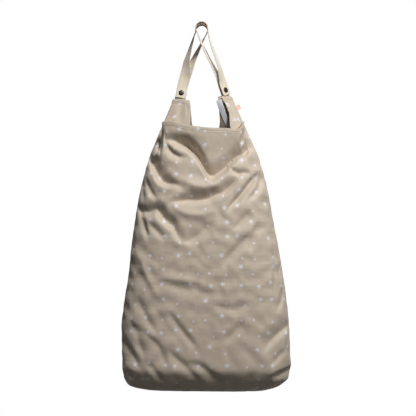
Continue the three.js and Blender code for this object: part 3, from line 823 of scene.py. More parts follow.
def star_mask(tree, uv):
    """1 inside the printed stars and 0 on the plain cloth."""
    cells = add_node(tree, "ShaderNodeTexVoronoi", voronoi_dimensions="2D", feature="F1",
                     inputs={"Scale": 1 / STAR_SPACING, "Randomness": 0.55})
    tree.links.new(uv, cells.inputs["Vector"])
    away = add_node(tree, "ShaderNodeVectorMath", operation="SUBTRACT")
    tree.links.new(uv, away.inputs[0])
    tree.links.new(cells.outputs["Position"], away.inputs[1])
    part = add_node(tree, "ShaderNodeSeparateXYZ")
    tree.links.new(away.outputs[0], part.inputs[0])
    chance = add_node(tree, "ShaderNodeSeparateColor")
    tree.links.new(cells.outputs["Color"], chance.inputs[0])
    length = sum_node(tree, "SQRT", sum_node(
        tree, "ADD", sum_node(tree, "MULTIPLY", part.outputs[0], part.outputs[0]),
        sum_node(tree, "MULTIPLY", part.outputs[1], part.outputs[1])))
    angle = sum_node(tree, "ARCTAN2", part.outputs[1], part.outputs[0])
    turned = sum_node(tree, "ADD", angle, sum_node(
        tree, "MULTIPLY", chance.outputs[0], 2 * math.pi))
    sector = math.pi / STAR_POINTS
    from_point = sum_node(tree, "PINGPONG", turned, sector)
    size = sum_node(tree, "MULTIPLY_ADD", sum_node(
        tree, "GREATER_THAN", chance.outputs[1], SMALL_SHARE),
        (1 - STAR_SMALL) * STAR_RADIUS, STAR_SMALL * STAR_RADIUS)
    # The straight side between a point at angle 0 and a notch at angle sector
    outline = sum_node(tree, "DIVIDE", STAR_NOTCH * math.sin(sector), sum_node(
        tree, "ADD", sum_node(tree, "SINE", from_point), sum_node(
            tree, "MULTIPLY", sum_node(
                tree, "SINE", sum_node(tree, "SUBTRACT", sector, from_point)), STAR_NOTCH)))
    inside = sum_node(tree, "DIVIDE", length, sum_node(tree, "MULTIPLY", outline, size))
    soft = add_node(tree, "ShaderNodeMapRange", interpolation_type="SMOOTHSTEP",
                    inputs={"From Min": STAR_EDGE[0], "From Max": STAR_EDGE[1],
                            "To Min": 0.0, "To Max": 1.0})
    tree.links.new(inside, soft.inputs["Value"])
    kept = sum_node(tree, "LESS_THAN", chance.outputs[2], STAR_KEPT)
    return sum_node(tree, "MULTIPLY", soft.outputs["Result"], kept)


def printed_cloth(name, colour):
    """Beige knitted cloth with printed stars."""
    material, tree, shader = new_material(
        name, Roughness=0.62, Sheen_Weight=0.25, Sheen_Roughness=0.45,
        Specular_IOR_Level=0.35)
    uv = print_uv(tree)
    mottle = noise_node(tree, uv, 38, 4, 0.6)
    shade = add_node(tree, "ShaderNodeMapRange",
                     inputs={"From Min": 0.3, "From Max": 0.7, "To Min": 0.93, "To Max": 1.05})
    tree.links.new(mottle, shade.inputs["Value"])
    cloth = add_node(tree, "ShaderNodeVectorMath", operation="SCALE")
    cloth.inputs[0].default_value = colour
    tree.links.new(shade.outputs["Result"], cloth.inputs["Scale"])
    blend = add_node(tree, "ShaderNodeMix", data_type="RGBA")
    blend.inputs["B"].default_value = STAR_COLOUR
    tree.links.new(cloth.outputs[0], blend.inputs["A"])
    tree.links.new(star_mask(tree, uv), blend.inputs["Factor"])
    tree.links.new(blend.outputs["Result"], shader.inputs["Base Color"])
    knit = add_node(tree, "ShaderNodeTexVoronoi", voronoi_dimensions="2D",
                    inputs={"Scale": 1 / (0.9 * MM), "Randomness": 0.25})
    tree.links.new(uv, knit.inputs["Vector"])
    bump_chain(tree, shader, [
        (noise_node(tree, uv, 55, 3, 0.55), 0.5 * MM),
        (noise_node(tree, uv, 240, 2, 0.5), 0.06 * MM),
        (knit.outputs["Distance"], 0.05 * MM),
    ])
    return material


def film_side_with_painted_shade():
    """The film side of the cloth, smoother, with painted shade: its dark brown stands for the shade
    inside the bag.
    """
    material, tree, shader = new_material(
        "laminated_film_painted_shade", Roughness=0.42, Specular_IOR_Level=0.4)
    uv = print_uv(tree)
    # Painted shade: these dark browns stand for the shade inside the bag; the noise only varies the
    # tone at random
    two_tone(tree, shader, noise_node(tree, uv, 60, 3, 0.6), (0.30, 0.235, 0.18), (0.40, 0.33, 0.26))
    bump_chain(tree, shader, [(noise_node(tree, uv, 90, 3, 0.6), 0.3 * MM)])
    return material


# %% The bag
def inner_grid(points):
    """A coarser grid a cloth's thickness inside the outer one, thicker at the hem."""
    ways = grid_normals(points)
    for _ in range(3):
        ways = unit(ways + np.roll(ways, 1, axis=1) + np.roll(ways, -1, axis=1))
    depth = CLOTH + HEM_STEP * (1 - smoothstep(from_edge(points), HEM_WIDTH, HEM_WIDTH + 2 * MM))
    inner = (points - ways * depth[..., None])[::COARSE, ::COARSE]
    inward = -ways[::COARSE, ::COARSE]
    body = smoothstep(np.arange(len(inner)), BODY_ROWS // COARSE + 6, BODY_ROWS // COARSE)
    body = 0.25 + 0.75 * body[:, None]
    for _ in range(6):
        shallow = np.maximum(0.7 * MM - cloth_depth(points, ways, inner), 0)
        rows, columns = inner.shape[:2]
        blocks = shallow[:-1].reshape(rows - 1, COARSE, columns, COARSE).max(axis=(1, 3))
        push = np.vstack([blocks, np.zeros((1, columns))])
        push[1:] = np.maximum(push[1:], blocks)
        push = np.maximum(push, np.roll(push, 1, axis=1))
        inner = inner + inward * (np.minimum(push, 1.5 * MM) * body)[..., None]
    return inner


def cloth_depth(points, ways, inner):
    """How far behind each outer point the inner face lies, along the way out."""
    return np.sum((points - finer(inner, COARSE, points.shape)) * ways, axis=-1)


def bag_piece(points, plain, turns):
    """The pouch as one wall of cloth, printed outside and filmed inside."""
    rows, columns = points.shape[:2]
    inner = inner_grid(points)
    bottom = points[0].mean(axis=0) - np.array([0, 0, 0.004 * HEIGHT])
    inner_bottom = bottom + np.array([0, 0, CLOTH])
    outer_faces = grid_faces(rows, columns)
    start = rows * columns + 1
    inner_faces = [face[::-1] for face in grid_faces(*inner.shape[:2], start)]
    top, inner_top = (rows - 1) * columns, start + (inner.shape[0] - 1) * inner.shape[1]
    rim = []
    for column in range(0, columns, COARSE):
        edge = [top + (column + step) % columns for step in range(COARSE + 1)]
        one = inner_top + column // COARSE
        two = inner_top + (column // COARSE + 1) % inner.shape[1]
        rim.extend([(edge[0], one, edge[1]), (edge[1], one, two, edge[2]), (edge[2], two, edge[3])])
    corners = np.vstack([points.reshape(-1, 3), bottom, inner.reshape(-1, 3), inner_bottom])
    piece = make_mesh("bag_cloth", corners, outer_faces + inner_faces + rim)
    finished(piece, printed_cloth("printed_cloth", CLOTH_COLOUR), "printed_cloth", "bag_body")
    piece.data.materials.append(film_side_with_painted_shade())
    indices = np.zeros(len(piece.data.polygons), np.int32)
    indices[len(outer_faces):len(outer_faces) + len(inner_faces)] = 1
    piece.data.polygons.foreach_set("material_index", indices)
    outer_uv = np.array(panel_uv(plain, turns))
    corner_uv = np.zeros((len(corners), 2))
    fronts = np.array([corner for face in outer_faces for corner in face])
    corner_uv[fronts] = outer_uv
    fine = np.arange(rows)[::COARSE, None] * columns + np.arange(columns)[None, ::COARSE]
    corner_uv[start:start + fine.size] = corner_uv[fine.ravel()]
    all_uv = corner_uv[face_corners(piece)]
    all_uv[:len(outer_uv)] = outer_uv
    add_print(piece, all_uv)
    return piece


bag = bag_piece(grid, plain_grid, turns)
cloth_area = sum(face.area for face in bag.data.polygons if face.material_index == 1)
print("cloth in the bag, square metres:", round(cloth_area, 3))

# %% [markdown]
# Straps
#
# Each strap is a strip of the bag's cloth, folded lengthways and stitched down along both edges. It
# is sewn into the top of an ear, runs up over the peg, and comes down again in front, where a press
# snap closes it on its own lower end. A curve with a bevel could do it, but a strip swept through a
# table of places keeps its flat side where it has to be, at the ear, at the snap and on the peg.

# %% Where the straps run
PEG_RADIUS = 13 * MM
STRAP_SPACING = 4 * MM             # between the two straps, side by side on the peg
SNAP_CORE = 2.2 * MM
LAYER_GAP = SNAP_CORE + 1.0 * MM   # between the two layers of a closed strap
LOOP_RADIUS = PEG_RADIUS + STRAP_THICKNESS / 2
SEWN_IN = 5 * MM
EAR_DEEP = 0.93
FREE_END = 0.985
ARC_STEPS = 8
# Along from the peg to the ear; face is the turn of the flat side; free and sewn say how far the
# two layers stand apart, 1 as wide as the peg and 0 closed; drift is sideways, in strap widths
STRAP_COLUMNS = ["along", "face", "free", "sewn", "drift"]
STRAP_TABLES = {
    "left": table(STRAP_COLUMNS, [
        [0, 0, 1, 1, 0], [0.12, 0.10, 1.06, 0.72, 0], [0.30, 0.26, 1.06, 0.24, 0],
        [0.45, 0.42, 1.00, 0.06, -0.05], [0.57, 0.64, 0.66, 0, -0.12],
        [0.69, 0.88, 0.22, 0, -0.17], [0.82, 0.99, 0, 0, -0.14], [0.91, 1, 0, 0, -0.06],
        [1, 1, 0, 0, 0]]),
    "right": table(STRAP_COLUMNS, [
        [0, 0, 1, 1, 0], [0.13, 0.14, 0.62, 1.00, 0], [0.30, 0.30, 0.52, 0.84, 0],
        [0.45, 0.38, 0.54, 0.60, 0], [0.59, 0.48, 0.50, 0.30, 0], [0.70, 0.66, 0.24, 0.08, 0],
        [0.82, 0.96, 0, 0, 0], [0.91, 1, 0, 0, 0], [1, 1, 0, 0, 0]]),
}


def layer_station(side, along, layer):
    """Middle and direction of width of one layer of a strap, between peg and ear."""
    ear, rows = EARS[side], STRAP_TABLES[side]
    wide, out = strap_axes(ear, ear["face"] * between(rows, "along", "face", along))
    _, ear_out = strap_axes(ear, ear["face"])
    closed = (LAYER_GAP + STRAP_THICKNESS) / 2
    tab = place(*ear["middle"]) + ear_out * closed
    peg = np.array([0, -ear["side"] * (STRAP_WIDTH + STRAP_SPACING) / 2, -PEG_RADIUS])
    middle = peg + (tab - peg) * np.array([along, along ** 1.6, along])
    apart = closed + (LOOP_RADIUS - closed) * between(rows, "along", layer, along)
    middle = middle + out * apart * (1 if layer == "free" else -1)
    middle[0] += between(rows, "along", "drift", along) * STRAP_WIDTH
    return np.concatenate([middle, wide])


def ear_middle(ear, rise):
    """Middle of an ear, between its two layers of cloth."""
    turns = [ear["seam"] + ear["side"] * turn
             for turn, beside, pinch, _ in EAR_TOP if pinch and beside == 0.30]
    return mouth_points(np.array(turns), rise).mean(axis=0)


def strap_stations(side):
    """A strap's places, from its sewn end, over the peg, to its free end."""
    ear = EARS[side]
    alongs = STRAP_TABLES[side]["along"][1:]
    sewn = [layer_station(side, along, "sewn") for along in alongs[::-1]]
    down = unit(ear_middle(ear, EAR_DEEP) - ear_middle(ear, 1)) * SEWN_IN
    root = np.concatenate([sewn[0][:3] + down, sewn[0][3:]])
    over = []
    for angle in np.linspace(0, math.pi, ARC_STEPS):
        over.append([-ear["side"] * math.cos(angle) * LOOP_RADIUS,
                     -ear["side"] * (STRAP_WIDTH + STRAP_SPACING) / 2,
                     math.sin(angle) * LOOP_RADIUS - PEG_RADIUS, 0, -1, 0])
    free = [layer_station(side, min(along, FREE_END), "free") for along in alongs]
    return np.array([root, *sewn, *over, *free])


def along_line(points):
    """Length along a line of points, at each of them."""
    steps = np.linalg.norm(np.diff(points[:, :3], axis=0), axis=1)
    return np.concatenate([[0], np.cumsum(steps)])


def follow(stations, step):
    """Even places on a smooth curve through stations, and how long the curve is."""
    rows = {"at": along_line(stations)}
    rows.update({column: stations[:, column] for column in range(stations.shape[1])})

    def curve(at):
        return np.stack([between(rows, "at", column, at) for column in range(stations.shape[1])],
                        axis=-1)

    fine = np.linspace(0, rows["at"][-1], 3000)
    real = along_line(curve(fine))
    places = int(round(real[-1] / step)) + 1
    return curve(np.interp(np.linspace(0, real[-1], places), real, fine)), real[-1]


def strip_frames(line):
    """Directions ahead, across and through a strip, at each place of its line."""
    ahead = unit(np.gradient(line[:, :3], axis=0))
    wide = line[:, 3:]
    across = unit(wide - ahead * np.sum(wide * ahead, axis=1, keepdims=True))
    return ahead, across, np.cross(ahead, across)


def swept_strip(name, line, section):
    """A closed strip with its own section, across and through, at each place of a line."""
    _, across, thick = strip_frames(line)
    rings = (line[:, None, :3] + section[..., :1] * across[:, None]
             + section[..., 1:] * thick[:, None])
    count, around = section.shape[:2]
    ends = rings[[0, -1]].mean(axis=1)
    strip = make_mesh(name, np.vstack([rings.reshape(-1, 3), ends]), tube_faces(count, around))
    length = along_line(line)
    lengths = np.concatenate([np.repeat(length, around), length[[0, -1]]])
    widths = np.concatenate([section[..., 0].ravel(), [0, 0]])
    add_print(strip, np.stack([lengths, widths], axis=1)[face_corners(strip)])
    return strip


print("straps:", {side: round(follow(strap_stations(side), 1 * MM)[1], 3) for side in EARS})

# %% Cloth and thread of the straps
# Painted light: the straps are the bag's cloth, made lighter here to stand for the brighter light
# that falls on them at the top
STRAP_TONE_WITH_PAINTED_LIGHT = (0.67, 0.58, 0.465)


def sewing_thread():
    """Twisted beige thread."""
    material, tree, shader = new_material(
        "sewing_thread", Roughness=0.6, Sheen_Weight=0.3, Sheen_Roughness=0.4)
    place_on = add_node(tree, "ShaderNodeTexCoord").outputs["Object"]
    grain = noise_node(tree, place_on, 900, 2, 0.6)
    two_tone(tree, shader, grain, (0.47, 0.40, 0.32), (0.62, 0.54, 0.44))
    bump_chain(tree, shader, [(grain, 0.08 * MM)])
    return material


STRAP_CLOTH = printed_cloth("strap_cloth", STRAP_TONE_WITH_PAINTED_LIGHT)
THREAD = sewing_thread()

# %% Geometry nodes for stitches
STITCH_PITCH = 3.2 * MM
STITCH = {"Pitch": STITCH_PITCH, "Length": 2.7 * MM, "Width": 0.62 * MM, "Height": 0.5 * MM}


def stitch_tree():
    """Lays one rounded stitch after another along the lines of a mesh."""
    tree = bpy.data.node_groups.new("stitching", "GeometryNodeTree")
    tree.interface.new_socket("Lines", in_out="INPUT", socket_type="NodeSocketGeometry")
    for name, value in STITCH.items():
        socket = tree.interface.new_socket(name, in_out="INPUT", socket_type="NodeSocketFloat")
        socket.default_value = value
    tree.interface.new_socket("Thread", in_out="INPUT", socket_type="NodeSocketMaterial")
    tree.interface.new_socket("Stitches", in_out="OUTPUT", socket_type="NodeSocketGeometry")
    source = add_node(tree, "NodeGroupInput")
    curve = add_node(tree, "GeometryNodeMeshToCurve")
    even = add_node(tree, "GeometryNodeResampleCurve", mode="LENGTH")
    ball = add_node(tree, "GeometryNodeMeshUVSphere",
                    inputs={"Segments": 6, "Rings": 5, "Radius": 0.5})
    way = add_node(tree, "GeometryNodeInputNamedAttribute", data_type="FLOAT_VECTOR",
                   inputs={"Name": "face_way"})
    run = add_node(tree, "FunctionNodeAlignRotationToVector", axis="X")
    stand = add_node(tree, "FunctionNodeAlignRotationToVector", axis="Z", pivot_axis="X")
    chance = add_node(tree, "FunctionNodeRandomValue", data_type="FLOAT")
    chance.inputs[2].default_value, chance.inputs[3].default_value = 0.92, 1.06
    chance.inputs["Seed"].default_value = 7
    size = add_node(tree, "ShaderNodeCombineXYZ")
    put = add_node(tree, "GeometryNodeInstanceOnPoints")
    solid = add_node(tree, "GeometryNodeRealizeInstances")
    smooth = add_node(tree, "GeometryNodeSetShadeSmooth")
    finish = add_node(tree, "GeometryNodeSetMaterial")
    result = add_node(tree, "NodeGroupOutput")
    link = tree.links.new
    link(source.outputs["Lines"], curve.inputs["Mesh"])
    link(curve.outputs["Curve"], even.inputs["Curve"])
    link(source.outputs["Pitch"], even.inputs["Length"])
    link(even.outputs["Curve"], put.inputs["Points"])
    link(ball.outputs["Mesh"], put.inputs["Instance"])
    link(add_node(tree, "GeometryNodeInputTangent").outputs[0], run.inputs["Vector"])
    link(run.outputs["Rotation"], stand.inputs["Rotation"])
    link(way.outputs["Attribute"], stand.inputs["Vector"])
    link(stand.outputs["Rotation"], put.inputs["Rotation"])
    link(sum_node(tree, "MULTIPLY", source.outputs["Length"], chance.outputs[1]), size.inputs["X"])
    link(source.outputs["Width"], size.inputs["Y"])
    link(source.outputs["Height"], size.inputs["Z"])
    link(size.outputs[0], put.inputs["Scale"])
    link(put.outputs["Instances"], solid.inputs[0])
    link(solid.outputs[0], smooth.inputs[0])
    link(smooth.outputs[0], finish.inputs["Geometry"])
    link(source.outputs["Thread"], finish.inputs["Material"])
    link(finish.outputs["Geometry"], result.inputs["Stitches"])
    return tree


STITCHING = stitch_tree()


def stitches(name, lines, **sizes):
    """Stitches along lines, each given as its points and the ways that the cloth faces there."""
    corners = np.vstack([points for points, _ in lines])
    ways = np.vstack([facing for _, facing in lines])
    edges, start = [], 0
    for points, _ in lines:
        edges.extend((place, place + 1) for place in range(start, start + len(points) - 1))
        start += len(points)
    mesh = bpy.data.meshes.new(name)
    mesh.from_pydata([tuple(corner) for corner in corners], edges, [])
    attribute = mesh.attributes.new("face_way", "FLOAT_VECTOR", "POINT")
    attribute.data.foreach_set("vector", np.asarray(ways, np.float32).ravel())
    piece = bpy.data.objects.new(name, mesh)
    bpy.context.scene.collection.objects.link(piece)
    modifier = piece.modifiers.new("stitching", "NODES")
    modifier.node_group = STITCHING
    for item in STITCHING.interface.items_tree:
        if item.name in STITCH and item.in_out == "INPUT":
            modifier[item.identifier] = sizes.get(item.name.lower(), STITCH[item.name])
        elif item.name == "Thread":
            modifier[item.identifier] = THREAD
    evaluated = piece.evaluated_get(bpy.context.evaluated_depsgraph_get())
    sewn = bpy.data.meshes.new_from_object(evaluated)
    piece.modifiers.clear()
    piece.data = sewn
    return piece


# %% Straps of folded cloth
EDGE_LINE = 2.6 * MM               # stitches from the strap's edges
STRAP_STEP = STITCH_PITCH / 3
END_ROUND = {"left": 1.6 * MM, "right": 6.5 * MM}
STRAP_FURROW, FURROW_REACH = 0.42 * MM, 0.75 * MM
STRAP_CROWN = STRAP_RIPPLE = 0.10 * MM


def strap_section(line, length, end_round):
    """The strap's section at each place: rolled edges, and a furrow under each line of stitches."""
    half, thick = STRAP_WIDTH / 2, STRAP_THICKNESS / 2
    flat = np.array([1.0, 1.7, 2.2, 2.6, 3.0, 3.6, 5.2, 8.5]) * MM
    right = half - flat
    top = np.concatenate([right, [0], -right[::-1]])
    turned = np.linspace(0, math.pi, 5)[1:-1]
    rolled = np.stack([half - thick + thick * np.sin(turned), -thick * np.cos(turned)], axis=1)
    upper = np.stack([top, np.full(len(top), thick)], axis=1)
    profile = np.vstack([upper, rolled[::-1] * [-1, 1], (upper * [1, -1])[::-1], rolled])
    at = along_line(line)[:, None]
    across, through = profile[None, :, 0], profile[None, :, 1]
    from_edge_line = (half - EDGE_LINE - np.abs(across)) / FURROW_REACH
    pull = 0.75 + 0.25 * np.cos(2 * math.pi * at / STITCH_PITCH)
    furrow = STRAP_FURROW * np.exp(-from_edge_line ** 2) * pull
    crown = STRAP_CROWN * np.cos(across / half * math.pi / 2)
    ripple = STRAP_RIPPLE * np.sin(at / (11 * MM)) * np.sin(across / (5 * MM) + at / (17 * MM))
    through = np.sign(through) * (np.abs(through) - furrow + crown) + ripple
    to_end = np.minimum(length - at, end_round)
    rounded = np.sqrt(np.maximum(end_round ** 2 - (end_round - to_end) ** 2, 0)) - end_round
    wobble = 0.22 * MM * np.sin(at / (9 * MM)) + 0.12 * MM * np.sin(at / (3.7 * MM))
    width = half + np.maximum(rounded, -half * 0.8) + wobble
    thin = np.clip((length - at) / (0.8 * MM), 0.35, 1) ** 0.5
    return np.stack(np.broadcast_arrays(across * width / half, through * thin), axis=-1)


def strap_seams(line, length):
    """Lines for the strap's stitches, along both edges and across the free end, on each face."""
    _, across, thick = strip_frames(line)
    at = along_line(line)
    used = (at > 1.5 * MM) & (at < length - EDGE_LINE)
    side, height = STRAP_WIDTH / 2 - EDGE_LINE, STRAP_THICKNESS / 2 - 0.16 * MM
    lines = []
    for face in (-1, 1):
        for edge in (-1, 1):
            points = line[:, :3] + across * edge * side + thick * face * height
            lines.append((points[used], thick[used] * face))
        last = np.flatnonzero(used)[-1]
        sideways = np.linspace(-side, side, 9)[:, None]
        points = line[last, :3] + across[last] * sideways + thick[last] * face * (height + 0.2 * MM)
        lines.append((points, np.repeat(thick[last:last + 1] * face, 9, axis=0)))
    return lines


STRAP_LINES = {}
for side in EARS:
    line, length = follow(strap_stations(side), STRAP_STEP)
    STRAP_LINES[side] = line, length
    strap = swept_strip(f"cloth_strap_{side}", line, strap_section(line, length, END_ROUND[side]))
    finished(strap, STRAP_CLOTH, "plain_cloth", f"strap_{side}")
    seam = stitches(f"strap_stitches_{side}", strap_seams(line, length))
    finished(seam, None, "plain_cloth")

# %% [markdown]
# Press snaps
#
# The straps close with dark moulded snaps: a smooth round cap on each outside, with a small dimple
# left by the press, and the socket and stud between the layers. They are round, so each is a profile
# turned about its axis, fine enough to keep its highlights round.

# %% Snaps
SNAP_FROM_END = 12.5 * MM
SNAP_SIDES = 48
CAP_PROFILE = [(0, 0), (5.5, 0), (6.0, 0.12), (6.2, 0.42), (6.2, 0.85), (6.08, 1.22), (5.7, 1.55),
               (5.0, 1.82), (3.9, 2.04), (2.7, 2.16), (1.9, 2.2), (1.55, 2.16), (1.3, 1.98),
               (1.0, 1.66), (0.6, 1.52), (0, 1.48)]
CORE_PROFILE = [(0, -1.1), (3.9, -1.1), (4.35, -1.0), (4.5, -0.8), (4.5, -0.3), (4.2, -0.1),
                (4.2, 0.1), (4.5, 0.3), (4.5, 0.8), (4.35, 1.0), (3.9, 1.1), (0, 1.1)]


def turned_piece(name, profile, middle, axis):
    """A profile in millimetres, turned about an axis through its middle."""
    side = unit(np.cross(axis, [0, 0, 1]))
    up = np.cross(axis, side)
    angles = np.linspace(0, 2 * math.pi, SNAP_SIDES, endpoint=False)
    ways = np.cos(angles)[:, None] * side + np.sin(angles)[:, None] * up
    inner = profile[1:-1]
    corners = [middle + axis * height * MM + ways * radius * MM for radius, height in inner]
    poles = [middle + axis * profile[0][1] * MM, middle + axis * profile[-1][1] * MM]
    return make_mesh(name, np.vstack([*corners, poles]), tube_faces(len(inner), SNAP_SIDES))


def dark_snap():
    """Glossy dark brown moulded resin."""
    material, tree, shader = new_material(
        "dark_snap", Roughness=0.36, Specular_IOR_Level=0.4)
    place_on = add_node(tree, "ShaderNodeTexCoord").outputs["Object"]
    two_tone(tree, shader, noise_node(tree, place_on, 400, 3, 0.6),
             (0.010, 0.0065, 0.005), (0.022, 0.014, 0.010))
    bump_chain(tree, shader, [(noise_node(tree, place_on, 700, 2, 0.5), 0.02 * MM)])
    return material


DARK_SNAP = dark_snap()


def snap_pieces(side):
    """The caps and the core of one strap's snap, where its two layers lie on each other."""
    line, length = STRAP_LINES[side]
    at = along_line(line)
    free = line[np.argmin(np.abs(at - (length - SNAP_FROM_END))), :3]
    lower = line[at < SEWN_IN + 3 * SNAP_FROM_END, :3]
    sewn = lower[np.argmin(np.linalg.norm(lower - free, axis=1))]
    facing = unit(free - sewn)
    seat = STRAP_THICKNESS / 2
    for name, node, profile, middle, axis in (
            ("front_cap", "snap_cap_front", CAP_PROFILE, free + facing * seat, facing),
            ("snap_socket", "snap_core", CORE_PROFILE, (free + sewn) / 2, facing),
            ("back_cap", "snap_cap_back", CAP_PROFILE, sewn - facing * seat, -facing)):
        piece = turned_piece(f"{name}_{side}", profile, middle, axis)
        finished(piece, DARK_SNAP, "dark_snap", f"{node}_{side}")


for side in EARS:
    snap_pieces(side)

# %% [markdown]
# Tape inside the mouth
#
# A white woven tape is sewn inside the mouth, up to the right ear. It is a narrow ribbed strip, set
# off the cloth by its own thickness, so it is swept like the straps along a line on the cloth.

# %% Tape
TAPE_WIDTH, TAPE_THICKNESS, TAPE_STANDOFF = 13 * MM, 1 * MM, 1.1 * MM
CAD_CLOTH = 1.5 * MM               # the solid model's cloth, which the tape is set off from
TAPE_ROUTE = table(["rise", "turn"], [
    [0.66, 245], [0.75, 247.5], [0.84, 250], [0.91, 252.3], [0.98, 255.2]])
RIB = 1.3 * MM


def mouth_normal(turn, rise):
    """Way out of the cloth at a place above the neck."""
    step = 0.01
    around = mouth_points(turn + 1, rise) - mouth_points(turn - 1, rise)
    lift = mouth_points(turn, rise) - mouth_points(turn, rise - step)
    return unit(np.cross(lift, around))


def tape_line():
    """The tape's line, with the direction of its width."""
    rises = np.linspace(TAPE_ROUTE["rise"][0], TAPE_ROUTE["rise"][-1], 11)
    turns = between(TAPE_ROUTE, "rise", "turn", rises)
    inward = -np.array([mouth_normal(turn, rise) for turn, rise in zip(turns, rises)])
    middles = mouth_points(turns, rises) + inward * (
        CAD_CLOTH + TAPE_STANDOFF + TAPE_THICKNESS / 2)
    wide = unit(np.cross(np.gradient(middles, axis=0), inward))
    return follow(np.hstack([middles, wide]), RIB / 4)


def tape_section(line):
    """Rounded edges and a rib every few threads."""
    half, thick = TAPE_WIDTH / 2, TAPE_THICKNESS / 2
    top = np.array([6.1, 5.2, 4.4, 3.0, 1.5, 0, -1.5, -3.0, -4.4, -5.2, -6.1]) * MM
    profile = np.vstack([np.stack([top, np.full(11, thick)], 1), [[-half, 0]],
                         np.stack([top[::-1], np.full(11, -thick)], 1), [[half, 0]]])
    at = along_line(line)[:, None]
    ribs = 1 - 0.16 * (0.5 - 0.5 * np.cos(2 * math.pi * at / RIB))
    edge = 1 - 0.25 * np.exp(-((np.abs(profile[None, :, 0]) - 4.8 * MM) / (0.6 * MM)) ** 2)
    return np.stack(np.broadcast_arrays(profile[None, :, 0], profile[None, :, 1] * ribs * edge), -1)


def white_tape():
    """White ribbed tape with a grey fleck."""
    material, tree, shader = new_material("white_tape", Roughness=0.7, Specular_IOR_Level=0.3)
    uv = print_uv(tree)
    fleck = add_node(tree, "ShaderNodeTexVoronoi", voronoi_dimensions="2D",
                     inputs={"Scale": 1 / (1.7 * MM), "Randomness": 0.8})
    tree.links.new(uv, fleck.inputs["Vector"])
    two_tone(tree, shader, fleck.outputs["Distance"], (0.30, 0.31, 0.34), (0.80, 0.82, 0.86),
             places=(0.16, 0.34))
    bump_chain(tree, shader, [(noise_node(tree, uv, 900, 2, 0.5), 0.06 * MM)])
    return material


line, _ = tape_line()
tape = swept_strip("woven_tape", line, tape_section(line))
finished(tape, white_tape(), "white_tape", "mouth_tape")

# %% [markdown]
# Side label
#
# A short pink ribbon is folded in two and sewn into the right side seam. It is bare on both faces.
# The fold stands out of the seam as a little loop, so the ribbon is swept out, round and back.

# %% Label
LABEL_LENGTH, LABEL_HEIGHT, LABEL_SPREAD = 13 * MM, 11 * MM, 0.38 * MM
LABEL_THICKNESS = 0.42 * MM
LABEL_TILT = 0.25
LABEL_PLACE = (270.0, 0.825)       # turn and rise of the seam there


def label_line():
    """Out of the seam, round the fold and back in."""
    start = mouth_points(*LABEL_PLACE)
    out = unit(mouth_normal(*LABEL_PLACE) + [0, 0, LABEL_TILT])
    across = np.array([1.0, 0, 0])
    height = np.array([0, 0, 1.0]) - (across + out) * out[2] / (1 + out[0])
    flat = np.cross(height, out)
    reach = LABEL_LENGTH - LABEL_SPREAD
    places = [(x, 1 + 0.5 * math.sin(x / reach * math.pi)) for x in np.linspace(-0.1, 1, 9) * reach]
    angles = np.linspace(math.pi / 2, -math.pi / 2, 7)[1:-1]
    turn = [(reach + LABEL_SPREAD * math.cos(angle), math.sin(angle)) for angle in angles]
    back = [(x, -1 - 0.5 * math.sin(x / reach * math.pi)) for x, _ in places[::-1]]
    middles = np.array([start + out * x + flat * LABEL_SPREAD * y
                        for x, y in [*places, *turn, *back]])
    return follow(np.hstack([middles, np.tile(height, (len(middles), 1))]), 0.25 * MM)


def label_section(line):
    """A thin ribbon with firm woven edges."""
    half, thick = LABEL_HEIGHT / 2, LABEL_THICKNESS / 2
    top = np.array([5.35, 4.9, 4.3, 3.0, 1.5, 0, -1.5, -3.0, -4.3, -4.9, -5.35]) * MM
    swell = thick * (1 + 0.12 * np.exp(-((np.abs(top) - 4.9 * MM) / (0.4 * MM)) ** 2))
    profile = np.vstack([np.stack([top, swell], 1), [[-half, 0]],
                         np.stack([top[::-1], -swell[::-1]], 1), [[half, 0]]])
    return np.repeat(profile[None], len(line), axis=0)


def label_ribbon():
    """Pale pink satin ribbon, bare."""
    material, tree, shader = new_material(
        "label_ribbon", Roughness=0.5, Sheen_Weight=0.3, Specular_IOR_Level=0.45)
    uv = print_uv(tree)
    two_tone(tree, shader, noise_node(tree, uv, 400, 3, 0.6), (0.72, 0.42, 0.34), (0.86, 0.56, 0.47))
    weave = add_node(tree, "ShaderNodeTexWave", bands_direction="Y",
                     inputs={"Scale": 1 / (1.6 * MM), "Distortion": 0.4})
    tree.links.new(uv, weave.inputs["Vector"])
    bump_chain(tree, shader, [(weave.outputs["Fac"], 0.05 * MM)])
    return material


line, _ = label_line()
label = swept_strip("ribbon_label", line, label_section(line))
finished(label, label_ribbon(), "label_ribbon", "side_tag")

# %% [markdown]
# Stitches of the hem
#
# The edge of the mouth is turned in and stitched down all the way round. The line of stitches lies
# in the shallow furrow that it pulls into the cloth, a little above the hem's raw edge inside.

# %% Hem stitches
def line_below_edge(points, depth):
    """A line on the outer face at one distance below the mouth's edge, and the ways out there."""
    edge, ways = from_edge(points), grid_normals(points)
    line, facing = [], []
    for column in list(range(points.shape[1])) + [0]:
        order = np.argsort(edge[:, column])
        line.append([np.interp(depth, edge[order, column], points[order, column, axis])
                     for axis in range(3)])
        facing.append([np.interp(depth, edge[order, column], ways[order, column, axis])
                       for axis in range(3)])
    line, facing = np.array(line), unit(np.array(facing))
    return line + facing * 0.12 * MM, facing


hem = stitches("hem_stitches", [line_below_edge(grid, STITCH_LINE)], pitch=3.4 * MM)
finished(hem, None, "printed_cloth")
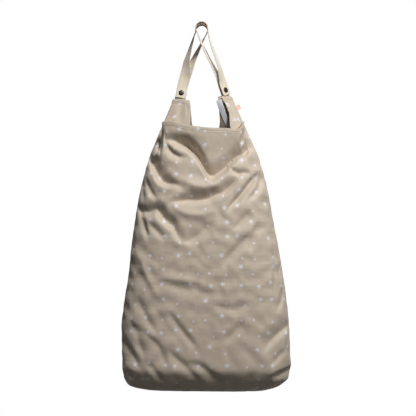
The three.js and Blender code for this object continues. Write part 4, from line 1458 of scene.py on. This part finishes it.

# %% [markdown]


# %% [markdown]
# Floor and light
#
# The ground of a product picture is plain white. Here a pale round floor lies well below the bag, and
# the world behind is white to the eye but gives the bag only a little light, so that the lamps can
# draw the folds. The main lamp is above and in front, a little to the right, and the base is left in
# shade as it is in a picture of a hung bag.

# %% Floor, lamps and world
FLOOR_Z = -1.25
FLOOR_RADIUS = 1.5
WORLD_ABOVE, WORLD_BELOW = 0.17, 0.04
LAMPS = [   # name, watts, size, place, and the spot that it looks at
    ("key_lamp", 48, 0.5, (0.62, -1.25, 1.1), (0, 0, -0.40)),
    ("fill_lamp", 3, 1.6, (1.8, -1.8, -0.2), (0, 0, -0.5)),
    ("back_lamp", 16, 1.2, (1.1, 1.9, 0.7), (0, 0, -0.45)),
]


def studio_floor():
    """A round pale floor."""
    steps = 96
    angles = [2 * math.pi * step / steps for step in range(steps)]
    corners = [(FLOOR_RADIUS * math.cos(angle), FLOOR_RADIUS * math.sin(angle), FLOOR_Z)
               for angle in angles]
    floor = make_mesh("studio_floor", corners, [tuple(range(steps))], smooth=False)
    material, _, _ = new_material("studio_floor", Base_Color=(0.85, 0.85, 0.85, 1), Roughness=0.9)
    floor.data.materials.append(material)
    floor.visible_diffuse = False      # it throws no light up at the base


def soft_lamp(name, power, size, spot, aim):
    """A square lamp that looks at one spot."""
    data = bpy.data.lights.new(name, "AREA")
    data.energy, data.size = power, size
    lamp = bpy.data.objects.new(name, data)
    lamp.location = spot
    lamp.rotation_euler = (Vector(aim) - Vector(spot)).to_track_quat("-Z", "Y").to_euler()
    bpy.context.scene.collection.objects.link(lamp)


def white_world(above, below):
    """White to the eye, and a weaker light on the object, mostly from above."""
    world = bpy.data.worlds.new("studio")
    bpy.context.scene.world = world
    world.use_nodes = True
    tree = world.node_tree
    background = tree.nodes["Background"]
    background.inputs["Color"].default_value = (1, 1, 1, 1)
    height = add_node(tree, "ShaderNodeSeparateXYZ")
    tree.links.new(add_node(tree, "ShaderNodeTexCoord").outputs["Generated"], height.inputs[0])
    light = add_node(tree, "ShaderNodeMapRange", inputs={
        "From Min": -0.4, "From Max": 0.5, "To Min": below, "To Max": above})
    tree.links.new(height.outputs["Z"], light.inputs["Value"])
    seen = add_node(tree, "ShaderNodeLightPath").outputs["Is Camera Ray"]
    strength = sum_node(tree, "MAXIMUM", seen, light.outputs["Result"])
    tree.links.new(strength, background.inputs["Strength"])


studio_floor()
for lamp in LAMPS:
    soft_lamp(*lamp)
white_world(WORLD_ABOVE, WORLD_BELOW)
bpy.context.scene.view_settings.view_transform = "Standard"
